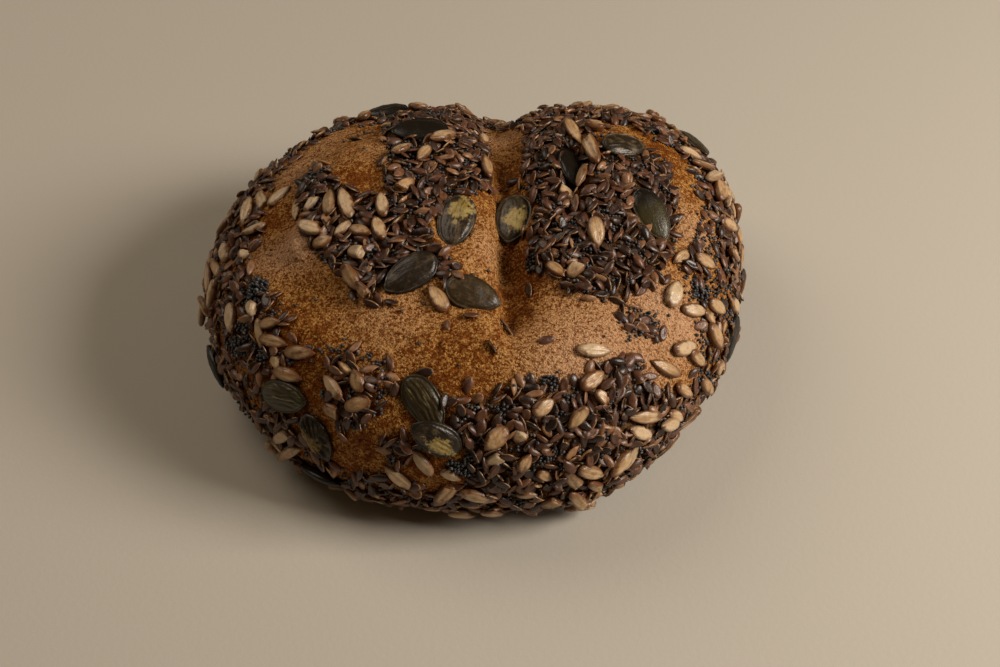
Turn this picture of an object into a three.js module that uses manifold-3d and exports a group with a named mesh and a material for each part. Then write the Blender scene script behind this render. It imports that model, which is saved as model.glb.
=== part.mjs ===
// A heart-shaped multigrain loaf: one piece of bread with two lobes behind, a crease that runs forward
// from the notch between them to a pit, and pumpkin seeds baked into its crust.
// Millimetres, +Z up, X to the loaf's right, Y towards its notch. The origin is under its middle.
import * as THREE from "three";
import { mergeVertices } from "three/addons/utils/BufferGeometryUtils.js";
import Module from "manifold-3d";

// ---- Driving dimensions ----
const LOAF = {
  height: 57,
  widestAt: 20, // height of the widest section
  domeRoundness: 2.3, // 2 is an ellipse, more is squarer
  flankRoundness: 2.2,
  baseShare: 0.7, // the flat base, as a share of the outline
  domeEases: 1, // climb in radians up to which the lobes and hollows fade in
};
// The outline is measured from the crease, which is right of the middle.
const OUTLINE = { left: 77, right: 63, front: 66, back: 66.5, roundness: 2.15 };
// Where the outline swells or draws in: azimuth and spread in degrees, and how far out.
const SWELLS = [
  { azimuth: 38, spread: 23, out: 8.8 },
  { azimuth: 198, spread: 14, out: 0.8 },
  { azimuth: 240, spread: 18, out: 1.5 },
  { azimuth: 320, spread: 26, out: -5.5 },
];
// Each lobe stands inside a shallow moat, an ellipse in plan.
const LOBES = [
  { x: -18, y: 0, halfWidth: 31, halfDepth: 37, lift: 2.5, peakX: -33, peakY: 18, reach: 27 },
  { x: 29, y: 1, halfWidth: 22, halfDepth: 34, lift: 4, peakX: 37, peakY: 20, reach: 25 },
];
const MOAT = { depth: 1.7, width: 0.18 }; // the width is a share of the lobe's size
const CREASE = {
  x: 7, // where it crosses the middle
  drift: -0.03, // sideways for each millimetre back
  pitY: -34,
  pitEnd: 7, // how fast it ends in front of the pit
  opensFrom: 5, // how far back it starts to widen towards the notch
  openAt: 55,
  depthAtPit: 10,
  depthAtMiddle: 6,
  depthAtNotch: 8.8,
  leftWall: { atPit: 2.8, atNotch: 13 }, // steep by the pit, gentle by the notch
  rightWall: { atPit: 8.5, atNotch: 12 },
};
// The crease sinks towards a line inside the loaf: shares of the way out, the way along, and of widestAt.
const CORE = { out: 0.4, along: 0.35, height: 0.8 };
const BLISTER = { x: -44, y: -12, radius: 5, out: 1.4 };
// The slow unevenness of baked dough: two waves across each other, the first one swaying.
const WAVER = { out: 0.4, pitch: 26, sway: 0.7, crossing: 0.8, start: 1 };

const SEED = {
  thickness: 2.8,
  sunk: 1.1, // how deep the crust has grown round it
  taper: 0.24, // how much narrower the pointed end is, and how much wider the blunt one
  doming: 0.8, // 1 is an ellipse in section, less is fuller
  gap: 0.35, // between a seed and its pocket
};
// Where each pumpkin seed lies: azimuth and climb of its middle on the crust, and its turn on the crust
// from the way of growing azimuth to its pointed end. A seed may also be lifted off its bed, have its
// pointed end tipped up, or be rolled about its length. Degrees and millimetres.
const PUMPKIN_SEEDS = [
  // on the left lobe
  { azimuth: 221.6, climb: 80.3, turn: -59, length: 16, width: 10, tipUp: -10, roll: 6 },
  { azimuth: 229, climb: 64.4, turn: -114, length: 15.2, width: 8.8, roll: -14 },
  { azimuth: 255.7, climb: 64.3, turn: -18, length: 14.4, width: 9, roll: 20 },
  { azimuth: 128.5, climb: 65.2, turn: 166, length: 15.6, width: 9, lift: 0.5, roll: 20 },
  { azimuth: 122, climb: 36, turn: 172, length: 12.4, width: 8, lift: 1, roll: 16 },
  // on the right lobe
  { azimuth: 315, climb: 86.8, turn: -149, length: 15, width: 9.6, lift: 0.3, roll: -20 },
  { azimuth: 354.8, climb: 55.6, turn: -138, length: 15.6, width: 8.6, lift: 0.4, roll: 26 },
  { azimuth: 29.9, climb: 61.9, turn: -86, length: 13.4, width: 7.8, roll: 14 },
  { azimuth: 29.9, climb: 75.9, turn: 171, length: 14.2, width: 7, lift: -1.4, roll: -24 },
  { azimuth: 36.5, climb: 27, turn: 168, length: 14.4, width: 8, lift: 1.2, roll: 10 },
  // on the front, the second partly on the first
  { azimuth: 250.6, climb: 30.8, turn: -51, length: 15, width: 8.8, lift: -0.3 },
  { azimuth: 254.5, climb: 20.5, turn: 150, length: 13.8, width: 8.4, lift: 1.9, tipUp: 15 },
  { azimuth: 220.6, climb: 15.3, turn: 20, length: 15.2, width: 8.4 },
  { azimuth: 229.9, climb: 7.4, turn: -57, length: 13.4, width: 8.2 },
  // along the lower edge
  { azimuth: 229.5, climb: -22, turn: 6, length: 13.4, width: 7.6, lift: 0.7, roll: 24 },
  { azimuth: 197, climb: -7, turn: -10, length: 13.6, width: 8, lift: 1 },
  { azimuth: 346, climb: -2, turn: -134, length: 13, width: 8, lift: 0.3, roll: 8 },
  // behind the lobes and along the sides
  { azimuth: 96, climb: 17, turn: 35, length: 15, width: 8.6 },
  { azimuth: 68, climb: 4, turn: 110, length: 14.4, width: 8.2 },
  { azimuth: 138, climb: 10, turn: 62, length: 15.4, width: 8.8 },
  { azimuth: 162, climb: -3, turn: 128, length: 14.6, width: 8.4 },
  { azimuth: 17, climb: -4, turn: 64, length: 15, width: 8.6 },
];

// ---- Mesh fineness ----
const AROUND = 84;
const DOME_RINGS = 23;
const FLANK_RINGS = 5;
const SEED_AROUND = 10;
const SEED_RINGS = 6;
// How much the columns crowd towards the crease, and the rings towards the top, where the pit is.
const CROWDING = { crease: 0.28, top: 1.35 };
const BASE_MIDDLE = -2; // the climb that stands for the middle of the base
const WELD = 1e-3;

const { degToRad, lerp, smoothstep } = THREE.MathUtils;

/** A smooth bell, 1 at the middle and near 0 past two widths. */
const bell = (distance, width) => Math.exp(-((distance / width) ** 2));

/** Distance from the crease's middle to the outline: a superellipse of four half sizes, and its swells. */
function outlineRadius(azimuth) {
  const cos = Math.cos(azimuth);
  const sin = Math.sin(azimuth);
  const across = Math.abs(cos / (cos > 0 ? OUTLINE.right : OUTLINE.left)) ** OUTLINE.roundness;
  const along = Math.abs(sin / (sin > 0 ? OUTLINE.back : OUTLINE.front)) ** OUTLINE.roundness;
  let radius = (across + along) ** (-1 / OUTLINE.roundness);
  for (const swell of SWELLS) {
    const turn = azimuth - degToRad(swell.azimuth);
    const apart = Math.abs(Math.atan2(Math.sin(turn), Math.cos(turn)));
    radius += swell.out * bell(apart, degToRad(swell.spread));
  }
  return radius;
}

/** Half section from climb -90 (rim of the base) to 90 degrees (top): share of the outline, and height. */
function sectionPoint(climb) {
  const rise = Math.abs(Math.sin(climb));
  const run = Math.abs(Math.cos(climb));
  if (climb >= 0) {
    const power = 2 / LOAF.domeRoundness;
    return { share: run ** power, height: lerp(LOAF.widestAt, LOAF.height, rise ** power) };
  }
  const power = 2 / LOAF.flankRoundness;
  return { share: lerp(LOAF.baseShare, 1, run ** power), height: LOAF.widestAt * (1 - rise ** power) };
}

/** How far the crust sinks in at a plan place, because of the crease. */
function creaseSink(x, y) {
  const towardsNotch = smoothstep(y, CREASE.opensFrom, CREASE.openAt);
  const towardsPit = smoothstep(-y, 0, -CREASE.pitY);
  let depth = lerp(CREASE.depthAtMiddle, CREASE.depthAtNotch, towardsNotch);
  depth = lerp(depth, CREASE.depthAtPit, towardsPit);
  depth *= bell(Math.max(0, CREASE.pitY - y), CREASE.pitEnd);
  const side = x - CREASE.x - CREASE.drift * y;
  const wall = side < 0 ? CREASE.leftWall : CREASE.rightWall;
  return depth / (1 + (side / lerp(wall.atPit, wall.atNotch, towardsNotch)) ** 2);
}

/** Height that the lobes, their moats, a blister and the slow waver add at a plan place. */
function relief(x, y) {
  let height = BLISTER.out * bell(Math.hypot(x - BLISTER.x, y - BLISTER.y), BLISTER.radius);
  for (const lobe of LOBES) {
    height += lobe.lift * bell(Math.hypot(x - lobe.peakX, y - lobe.peakY), lobe.reach);
    const outFromLobe = Math.hypot((x - lobe.x) / lobe.halfWidth, (y - lobe.y) / lobe.halfDepth) - 1;
    height -= MOAT.depth * bell(outFromLobe, MOAT.width);
  }
  const phase = (2 * Math.PI) / WAVER.pitch;
  const swayed = Math.sin(x * phase + Math.sin(y * phase * WAVER.sway));
  return height + WAVER.out * swayed * Math.cos(y * phase * WAVER.crossing + WAVER.start);
}

/** The crust at an azimuth round the crease's middle and a climb, both in radians. */
function crustPoint(azimuth, climb) {
  const { share, height } = sectionPoint(climb);
  const radius = share * outlineRadius(azimuth);
  const y = radius * Math.sin(azimuth);
  const point = new THREE.Vector3(CREASE.x + CREASE.drift * y + radius * Math.cos(azimuth), y, height);
  const offBase = smoothstep(point.z, 0, LOAF.widestAt);
  const coreX = lerp(CREASE.x, point.x, CORE.out);
  const core = new THREE.Vector3(coreX, point.y * CORE.along, LOAF.widestAt * CORE.height);
  const inward = core.sub(point).normalize();
  const sink = creaseSink(point.x, point.y) * offBase;
  point.z += relief(point.x, point.y) * smoothstep(climb, 0, LOAF.domeEases);
  return point.addScaledVector(inward, sink);
}

/** Position and turn of a thing that lies on the crust: its X along it, its Z out of the crust. */
function layOnCrust({ azimuth, climb, turn, lift = 0, tipUp = 0, roll = 0 }, bedding) {
  const reach = 4; // the crust is felt this far to each side
  const widestAngle = 0.5;
  const around = degToRad(azimuth);
  const up = degToRad(climb);
  const middle = crustPoint(around, up);
  const aside = Math.min(widestAngle, reach / Math.hypot(middle.x - CREASE.x, middle.y));
  const above = Math.min(reach / LOAF.height, Math.PI / 2 - up);
  const ahead = crustPoint(around + aside, up).sub(crustPoint(around - aside, up)).normalize();
  const uphill = crustPoint(around, up + above).sub(crustPoint(around, up - above));
  const normal = ahead.clone().cross(uphill).normalize();
  const place = new THREE.Matrix4().makeBasis(ahead, normal.clone().cross(ahead), normal);
  place.multiply(new THREE.Matrix4().makeRotationZ(degToRad(turn)));
  place.multiply(new THREE.Matrix4().makeRotationY(-degToRad(tipUp)));
  place.multiply(new THREE.Matrix4().makeRotationX(degToRad(roll)));
  return place.setPosition(middle.addScaledVector(normal, bedding + lift));
}

/** Only positions, with shared vertices merged, as the solid library wants them. */
function weld(geometry) {
  geometry.deleteAttribute("normal");
  geometry.deleteAttribute("uv");
  return mergeVertices(geometry, WELD);
}

/** A hulled pumpkin seed: a flat oval with domed faces, pointed towards +X. */
function seedGeometry({ length, width }, grow = 0) {
  const geometry = new THREE.SphereGeometry(1, SEED_AROUND, SEED_RINGS);
  geometry.rotateZ(-Math.PI / 2);
  const position = geometry.getAttribute("position");
  for (let i = 0; i < position.count; i++) {
    const along = position.getX(i);
    const across = position.getY(i) * (1 - SEED.taper * along);
    const out = Math.sign(position.getZ(i)) * Math.abs(position.getZ(i)) ** SEED.doming;
    const halfThickness = SEED.thickness / 2 + grow;
    const halfLength = length / 2 + grow;
    const halfWidth = width / 2 + grow;
    position.setXYZ(i, along * halfLength, across * halfWidth, out * halfThickness);
  }
  return weld(geometry);
}

/** Crowds the azimuths towards the crease, which lies at 90 and -90 degrees. */
const crowded = (azimuth) => azimuth + CROWDING.crease * Math.sin(2 * azimuth);

/** Climb of each ring of the dome, in radians, crowded towards the top, where the pit is. */
const domeClimb = (ring) => (Math.PI / 2) * (1 - (1 - ring / DOME_RINGS) ** CROWDING.top);

/** The loaf as a lathed section whose every vertex is moved onto the crust. */
function loafGeometry() {
  const quarter = Math.PI / 2;
  const profile = [new THREE.Vector2(0, BASE_MIDDLE)];
  for (let ring = 0; ring <= FLANK_RINGS; ring++) {
    profile.push(new THREE.Vector2(1, -quarter * (1 - ring / FLANK_RINGS)));
  }
  for (let ring = 1; ring < DOME_RINGS; ring++) profile.push(new THREE.Vector2(1, domeClimb(ring)));
  profile.push(new THREE.Vector2(0, quarter));
  const geometry = new THREE.LatheGeometry(profile, AROUND);
  const position = geometry.getAttribute("position");
  for (let i = 0; i < position.count; i++) {
    const azimuth = crowded(Math.atan2(-position.getZ(i), position.getX(i)));
    const climb = position.getY(i);
    const onBase = climb === BASE_MIDDLE;
    const point = onBase ? new THREE.Vector3(CREASE.x, 0, 0) : crustPoint(azimuth, climb);
    position.setXYZ(i, point.x, point.y, point.z);
  }
  return geometry;
}

/** A solid of the cutting library from a welded geometry. */
function toSolid(geometry) {
  const vertProperties = new Float32Array(geometry.getAttribute("position").array);
  const triVerts = new Uint32Array(geometry.getIndex().array);
  return new wasm.Manifold(new wasm.Mesh({ numProp: 3, vertProperties, triVerts }));
}

/** The geometry of such a solid. */
function toGeometry(solid) {
  const mesh = solid.getMesh();
  const geometry = new THREE.BufferGeometry();
  geometry.setAttribute("position", new THREE.BufferAttribute(mesh.vertProperties, 3));
  geometry.setIndex(new THREE.BufferAttribute(mesh.triVerts, 1));
  return geometry;
}

const wasm = await Module();
wasm.setup();

const crust = new THREE.MeshStandardMaterial({ color: 0x9a6234, roughness: 0.85, metalness: 0 });
const seedSkin = new THREE.MeshStandardMaterial({ color: 0x4a4a32, roughness: 0.5, metalness: 0 });

const loaf = new THREE.Group();
let crumb = toSolid(weld(loafGeometry()));
PUMPKIN_SEEDS.forEach((seed, index) => {
  const place = layOnCrust(seed, SEED.thickness / 2 - SEED.sunk);
  crumb = crumb.subtract(toSolid(seedGeometry(seed, SEED.gap).applyMatrix4(place)));
  const mesh = new THREE.Mesh(seedGeometry(seed), seedSkin);
  mesh.name = `pumpkin_seed_${String(index + 1).padStart(2, "0")}`;
  mesh.applyMatrix4(place);
  loaf.add(mesh);
});
const bread = new THREE.Mesh(toGeometry(crumb), crust);
bread.name = "bread";
loaf.add(bread);

// The middle of the whole box comes over the origin.
const everyVertex = true;
const middle = new THREE.Box3().setFromObject(loaf, everyVertex).getCenter(new THREE.Vector3());
loaf.position.set(-middle.x, -middle.y, 0);

export default loaf;
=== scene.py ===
"""Looks of a heart-shaped multigrain loaf: a rough crust under pumpkin, sunflower, flax and poppy seeds.

Metres, +Z up, X to the loaf's right, Y towards its notch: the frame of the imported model. Places on the crust
that were read from the photograph are pixels of its 1000 x 667 frame, and are cast onto the crust from the
photograph's viewpoint.
"""

import logging
import math
from dataclasses import dataclass, field
from enum import Enum
from typing import ClassVar

import bpy
import numpy as np
from mathutils import Matrix, Quaternion, Vector, noise
from mathutils.bvhtree import BVHTree
from mathutils.kdtree import KDTree


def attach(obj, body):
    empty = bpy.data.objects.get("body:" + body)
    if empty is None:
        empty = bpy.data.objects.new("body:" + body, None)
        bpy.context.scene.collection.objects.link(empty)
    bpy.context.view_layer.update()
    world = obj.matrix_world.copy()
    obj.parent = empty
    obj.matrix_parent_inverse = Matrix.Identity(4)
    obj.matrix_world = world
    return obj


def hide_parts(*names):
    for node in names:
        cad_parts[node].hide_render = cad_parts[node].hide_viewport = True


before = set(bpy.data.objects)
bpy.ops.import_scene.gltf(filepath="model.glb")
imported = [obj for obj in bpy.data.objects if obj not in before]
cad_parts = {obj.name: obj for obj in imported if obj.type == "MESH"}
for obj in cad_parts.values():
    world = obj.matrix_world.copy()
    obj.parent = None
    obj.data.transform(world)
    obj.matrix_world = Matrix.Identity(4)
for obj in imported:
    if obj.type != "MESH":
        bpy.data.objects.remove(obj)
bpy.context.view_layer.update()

MM = 0.001
RANDOM_SEED = 7
Pixel = tuple[float, float]
Colour = tuple[float, float, float, float]
log = logging.getLogger("loaf")


# ---- Small helpers ----


def srgb(red: float, green: float, blue: float) -> Colour:
    """A colour as a screen shows it, 0 to 255, in the linear values that shaders want."""
    shares = (c / 255 for c in (red, green, blue))
    return (*(c / 12.92 if c <= 0.04045 else ((c + 0.055) / 1.055) ** 2.4 for c in shares), 1.0)


def smoothstep(values: np.ndarray, low: float, high: float) -> np.ndarray:
    """0 below low, 1 above high, and a smooth rise between them."""
    share = np.clip((values - low) / (high - low), 0, 1)
    return share * share * (3 - 2 * share)


def bell(distance: np.ndarray, width: float) -> np.ndarray:
    """A smooth bell, 1 at the middle and near 0 past two widths."""
    return np.exp(-((distance / width) ** 2))


def from_stretch(spots: np.ndarray, start: np.ndarray, end: np.ndarray) -> tuple[np.ndarray, np.ndarray]:
    """Measures where spots are beside a straight stretch.

    Args:
        spots: The spots, one row each.
        start: Where the stretch starts.
        end: Where it ends.

    Returns:
        The way from the stretch to each spot, and the share of the stretch that lies before it.
    """
    along = end - start
    share = np.clip((spots - start) @ along / max(along @ along, 1e-12), 0, 1)
    return spots - start - share[:, None] * along, share


def pick(reach: np.ndarray, chance: np.random.Generator) -> int:
    """A vertex drawn by chance, from the running sum of the vertices' weights."""
    return int(np.searchsorted(reach, chance.uniform(0, reach[-1])))


def rough(places: np.ndarray, size: float, shift: Vector | None = None) -> np.ndarray:
    """Smooth chance numbers around 0 at places, with blots of about the given size."""
    return np.array([noise.noise(Vector(place) / size + (shift or Vector())) for place in places])


def read_rows(items: bpy.types.bpy_prop_collection, name: str) -> np.ndarray:
    """Reads a vector of each vertex.

    Args:
        items: What holds the vectors.
        name: What they are called there.

    Returns:
        One row for each vertex.
    """
    flat = np.empty(len(items) * 3, np.float32)
    items.foreach_get(name, flat)
    return flat.reshape(-1, 3).astype(float)


def coordinates(mesh: bpy.types.Mesh) -> np.ndarray:
    """The places of a mesh's vertices, one row each."""
    return read_rows(mesh.vertices, "co")


def vertex_normals(mesh: bpy.types.Mesh) -> np.ndarray:
    """The normals of a mesh's vertices, one row each."""
    return read_rows(mesh.vertex_normals, "vector")


def move_vertices(mesh: bpy.types.Mesh, places: np.ndarray) -> None:
    """Puts a mesh's vertices at new places."""
    mesh.vertices.foreach_set("co", places.astype(np.float32).ravel())
    mesh.update()


def write_attribute(mesh: bpy.types.Mesh, name: str, values: np.ndarray | float) -> None:
    """Stores something at the vertices for a finish to read.

    Args:
        mesh: The mesh.
        name: The name that the finish reads.
        values: A number or a row of three for each vertex, or one number for them all.
    """
    kind, key = ("FLOAT_VECTOR", "vector") if np.ndim(values) == 2 else ("FLOAT", "value")
    if np.ndim(values) == 0:
        values = np.full(len(mesh.vertices), values)
    mesh.attributes.new(name, kind, "POINT").data.foreach_set(key, values.astype(np.float32).ravel())


def link(name: str, data: bpy.types.ID) -> bpy.types.Object:
    """Puts a mesh, light or camera into the scene.

    Args:
        name: The new object's name.
        data: What it holds.

    Returns:
        The object.
    """
    made = bpy.data.objects.new(name, data)
    bpy.context.scene.collection.objects.link(made)
    return made


def activate(piece: bpy.types.Object) -> None:
    """Makes one object the only one selected, and the active one.

    Args:
        piece: The object.
    """
    bpy.ops.object.select_all(action="DESELECT")
    piece.select_set(True)
    bpy.context.view_layer.objects.active = piece


def apply_modifier(piece: bpy.types.Object, kind: str, **settings: object) -> None:
    """Adds a modifier and applies it at once.

    Args:
        piece: The object.
        kind: The modifier's type.
        settings: The modifier's settings.
    """
    activate(piece)
    modifier = piece.modifiers.new(kind.lower(), kind)
    for name, value in settings.items():
        setattr(modifier, name, value)
    bpy.ops.object.modifier_apply(modifier=modifier.name)


def select_vertices(piece: bpy.types.Object, chosen: np.ndarray) -> None:
    """Selects vertices and nothing else, and enters edit mode.

    Args:
        piece: The object, in object mode.
        chosen: Whether each vertex is selected.
    """
    activate(piece)
    bpy.ops.object.mode_set(mode="EDIT")
    bpy.ops.mesh.select_mode(type="VERT")
    bpy.ops.mesh.select_all(action="DESELECT")
    bpy.ops.object.mode_set(mode="OBJECT")
    piece.data.vertices.foreach_set("select", chosen.astype(bool))
    bpy.ops.object.mode_set(mode="EDIT")


def leave_edit_mode() -> None:
    """Back to object mode."""
    bpy.ops.object.mode_set(mode="OBJECT")


def resize_vertices(piece: bpy.types.Object, chosen: np.ndarray, scale: tuple) -> None:
    """Scales vertices about the origin.

    Args:
        piece: The object.
        chosen: Whether each vertex is scaled.
        scale: The scale along each axis.
    """
    select_vertices(piece, chosen)
    bpy.ops.transform.resize(value=scale, center_override=(0, 0, 0))
    leave_edit_mode()


def shift_vertices(piece: bpy.types.Object, chosen: np.ndarray, by: tuple) -> None:
    """Moves vertices.

    Args:
        piece: The object.
        chosen: Whether each vertex is moved.
        by: How far it goes along each axis.
    """
    select_vertices(piece, chosen)
    bpy.ops.transform.translate(value=by)
    leave_edit_mode()


def flat_sphere(name: str, around: int, rings: int, size: Vector) -> bpy.types.Object:
    """Models a sphere scaled to a size, with its poles up and down: what each seed starts from.

    Args:
        name: The object's name.
        around: How many vertices go round it.
        rings: How many rings of faces it has from pole to pole.
        size: Its length, width and thickness.

    Returns:
        The object.
    """
    bpy.ops.object.select_all(action="DESELECT")
    bpy.ops.mesh.primitive_uv_sphere_add(segments=around, ring_count=rings, radius=0.5)
    piece = bpy.context.active_object
    piece.name = name
    piece.scale = size
    bpy.ops.object.transform_apply(location=True, rotation=True, scale=True)
    return piece


# ---- The photograph's viewpoint ----


@dataclass(frozen=True)
class Photograph:
    """Where the photograph was taken from, which turns its pixels into places on the crust."""

    width: int = 1000
    height: int = 667
    eye: Vector = Vector((5.6003 * MM, -317.7143 * MM, 335.646 * MM))
    pitch: float = math.radians(46)
    focal_length: float = 1664
    sensor_width: float = 36
    heart: Pixel = (475, 283)

    def axes(self) -> tuple[Vector, Vector, Vector]:
        """The picture's right, its up, and the way the camera looks."""
        cos, sin = math.cos(self.pitch), math.sin(self.pitch)
        return Vector((1, 0, 0)), Vector((0, sin, cos)), Vector((0, cos, -sin))

    def ray(self, pixel: Pixel) -> Vector:
        """Finds the way from the eye through a pixel.

        Args:
            pixel: The pixel.

        Returns:
            The way, of length 1.
        """
        right, up, ahead = self.axes()
        aside = (pixel[0] - self.width / 2) / self.focal_length
        above = (self.height / 2 - pixel[1]) / self.focal_length
        return (ahead + right * aside + up * above).normalized()

    def pixels(self, places: np.ndarray) -> np.ndarray:
        """Finds the pixels that show places.

        Args:
            places: The places, one row each.

        Returns:
            The column and the row of each one's pixel.
        """
        right, up, ahead = (np.array(axis) for axis in self.axes())
        from_eye = places - np.array(self.eye)
        depth = from_eye @ ahead
        columns = self.width / 2 + self.focal_length * (from_eye @ right) / depth
        rows = self.height / 2 - self.focal_length * (from_eye @ up) / depth
        return np.column_stack([columns, rows])

    def facing(self, places: np.ndarray, normals: np.ndarray) -> np.ndarray:
        """Measures how squarely a surface faces the eye.

        Args:
            places: Places on it, one row each.
            normals: Its normal at each.

        Returns:
            A number for each place: 1 where it faces the eye, below 0 where it faces away.
        """
        to_eye = np.array(self.eye) - places
        return np.sum(to_eye * normals, axis=1) / np.linalg.norm(to_eye, axis=1)

    def build_camera(self) -> None:
        """Puts the scene's camera at the photograph's viewpoint."""
        data = bpy.data.cameras.new("camera")
        data.sensor_width = self.sensor_width
        data.lens = self.focal_length * self.sensor_width / self.width
        camera = link("camera", data)
        camera.location = self.eye
        camera.rotation_euler = (math.pi / 2 - self.pitch, 0, 0)
        bpy.context.scene.camera = camera


PHOTO = Photograph()


# ---- Shader maths ----


class Amount:
    """A number that changes over a surface. Its operators add Math nodes, so a look reads as plain sums."""

    def __init__(self, graph: "Graph", socket: bpy.types.NodeSocket) -> None:
        """Wraps a socket of a graph."""
        self.graph = graph
        self.socket = socket

    def _math(self, operation: str, *terms: "Amount | float") -> "Amount":
        """The result of a Math node on the terms."""
        node = self.graph.node("ShaderNodeMath", {"operation": operation}, dict(enumerate(terms)))
        return Amount(self.graph, node.outputs[0])

    def __add__(self, other: "Amount | float") -> "Amount":
        """self + other."""
        return self._math("ADD", self, other)

    def __radd__(self, other: float) -> "Amount":
        """other + self."""
        return self._math("ADD", other, self)

    def __sub__(self, other: "Amount | float") -> "Amount":
        """self - other."""
        return self._math("SUBTRACT", self, other)

    def __rsub__(self, other: float) -> "Amount":
        """other - self."""
        return self._math("SUBTRACT", other, self)

    def __mul__(self, other: "Amount | float") -> "Amount":
        """self * other."""
        return self._math("MULTIPLY", self, other)

    def __rmul__(self, other: float) -> "Amount":
        """other * self."""
        return self._math("MULTIPLY", other, self)

    def rise(self, low: float, high: float) -> "Amount":
        """Rises smoothly from 0 to 1.

        Args:
            low: The amount where the rise starts.
            high: The amount where it is full. Below low, it is a fall from 1 to 0.

        Returns:
            The risen amount.
        """
        inputs = {0: self, 1: low, 2: high, 3: 0.0, 4: 1.0}
        node = self.graph.node("ShaderNodeMapRange", {"interpolation_type": "SMOOTHSTEP"}, inputs)
        return Amount(self.graph, node.outputs[0])


class Graph:
    """The node graph of one material."""

    def __init__(self, name: str) -> None:
        """Starts an empty material.

        Args:
            name: The material's name.
        """
        self.material = bpy.data.materials.new(name)
        self.material.use_nodes = True
        self.tree = self.material.node_tree
        self.tree.nodes.clear()

    def node(self, kind: str, settings: dict | None = None, inputs: dict | None = None) -> bpy.types.Node:
        """Adds a node.

        Args:
            kind: The node's type.
            settings: Its own settings, which are set first. A ramp's stops are a list of (place, colour).
            inputs: Values or links of its sockets, by name or number.

        Returns:
            The new node.
        """
        made = self.tree.nodes.new(kind)
        for name, value in (settings or {}).items():
            if name == "stops":
                self._set_stops(made.color_ramp, value)
            else:
                setattr(made, name, value)
        for name, value in (inputs or {}).items():
            source = value.socket if isinstance(value, Amount) else value
            if isinstance(source, bpy.types.NodeSocket):
                self.tree.links.new(source, made.inputs[name])
            else:
                made.inputs[name].default_value = source
        return made

    @staticmethod
    def _set_stops(ramp: bpy.types.ColorRamp, stops: list[tuple[float, Colour]]) -> None:
        """Gives a ramp its stops.

        Args:
            ramp: The ramp.
            stops: The place and colour of each, two or more.
        """
        while len(ramp.elements) < len(stops):
            ramp.elements.new(1.0)
        for element, (place, colour) in zip(ramp.elements, stops):
            element.position = place
            element.color = colour

    def places(self) -> bpy.types.NodeSocket:
        """Object coordinates, in metres."""
        return self.node("ShaderNodeTexCoord").outputs["Object"]

    def attribute(self, name: str) -> Amount:
        """A number stored at the vertices."""
        return Amount(self, self.node("ShaderNodeAttribute", {"attribute_name": name}).outputs["Fac"])

    def vector_attribute(self, name: str) -> bpy.types.NodeSocket:
        """A vector stored at the vertices."""
        return self.node("ShaderNodeAttribute", {"attribute_name": name}).outputs["Vector"]

    def scaled(self, places: bpy.types.NodeSocket, scale: tuple[float, float, float]) -> bpy.types.NodeSocket:
        """Coordinates stretched by a scale along each axis."""
        return self.node("ShaderNodeVectorMath", {"operation": "MULTIPLY"}, {0: places, 1: scale}).outputs[0]

    def noise(self, places: bpy.types.NodeSocket, size: float, detail: float = 2.0) -> Amount:
        """Smooth noise from 0 to 1 whose blots are about the given size, in the unit of the coordinates."""
        inputs = {"Vector": places, "Scale": 1 / size, "Detail": detail, "Roughness": 0.55}
        return Amount(self, self.node("ShaderNodeTexNoise", None, inputs).outputs[0])

    def cells(self, places: bpy.types.NodeSocket, size: float) -> tuple[Amount, Amount]:
        """Splits space into cells.

        Args:
            places: The coordinates.
            size: The size of a cell.

        Returns:
            The distance from the middle of each cell, and a chance number that each cell has.
        """
        inputs = {"Vector": places, "Scale": 1 / size, "Randomness": 1.0}
        node = self.node("ShaderNodeTexVoronoi", None, inputs)
        chance = self.node("ShaderNodeSeparateColor", None, {0: node.outputs["Color"]})
        return Amount(self, node.outputs["Distance"]), Amount(self, chance.outputs[0])

    def mix(self, factor: "Amount | float", first: object, second: object) -> bpy.types.NodeSocket:
        """The first colour where the factor is 0, the second where it is 1."""
        node = self.node("ShaderNodeMix", {"data_type": "RGBA"}, {0: factor, 6: first, 7: second})
        return node.outputs[2]

    def ramp(self, factor: Amount, stops: list[tuple[float, Colour]]) -> bpy.types.NodeSocket:
        """The colour of a ramp at a factor."""
        return self.node("ShaderNodeValToRGB", {"stops": stops}, {0: factor}).outputs[0]

    def bump(self, height: Amount, depth: float) -> bpy.types.NodeSocket:
        """A normal that shows a height from 0 to 1 as relief of the given depth."""
        inputs = {"Height": height, "Distance": depth, "Strength": 1.0}
        return self.node("ShaderNodeBump", None, inputs).outputs[0]

    def surface(self, **inputs: object) -> bpy.types.Material:
        """Ends the graph in one Principled shader.

        Args:
            inputs: Values or links of the shader's sockets, with _ for the spaces of their names.

        Returns:
            The material.
        """
        sockets = {name.replace("_", " "): value for name, value in inputs.items()}
        shader = self.node("ShaderNodeBsdfPrincipled", None, sockets)
        self.node("ShaderNodeOutputMaterial", None, {"Surface": shader.outputs[0]})
        return self.material


# ---- Finishes ----


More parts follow.
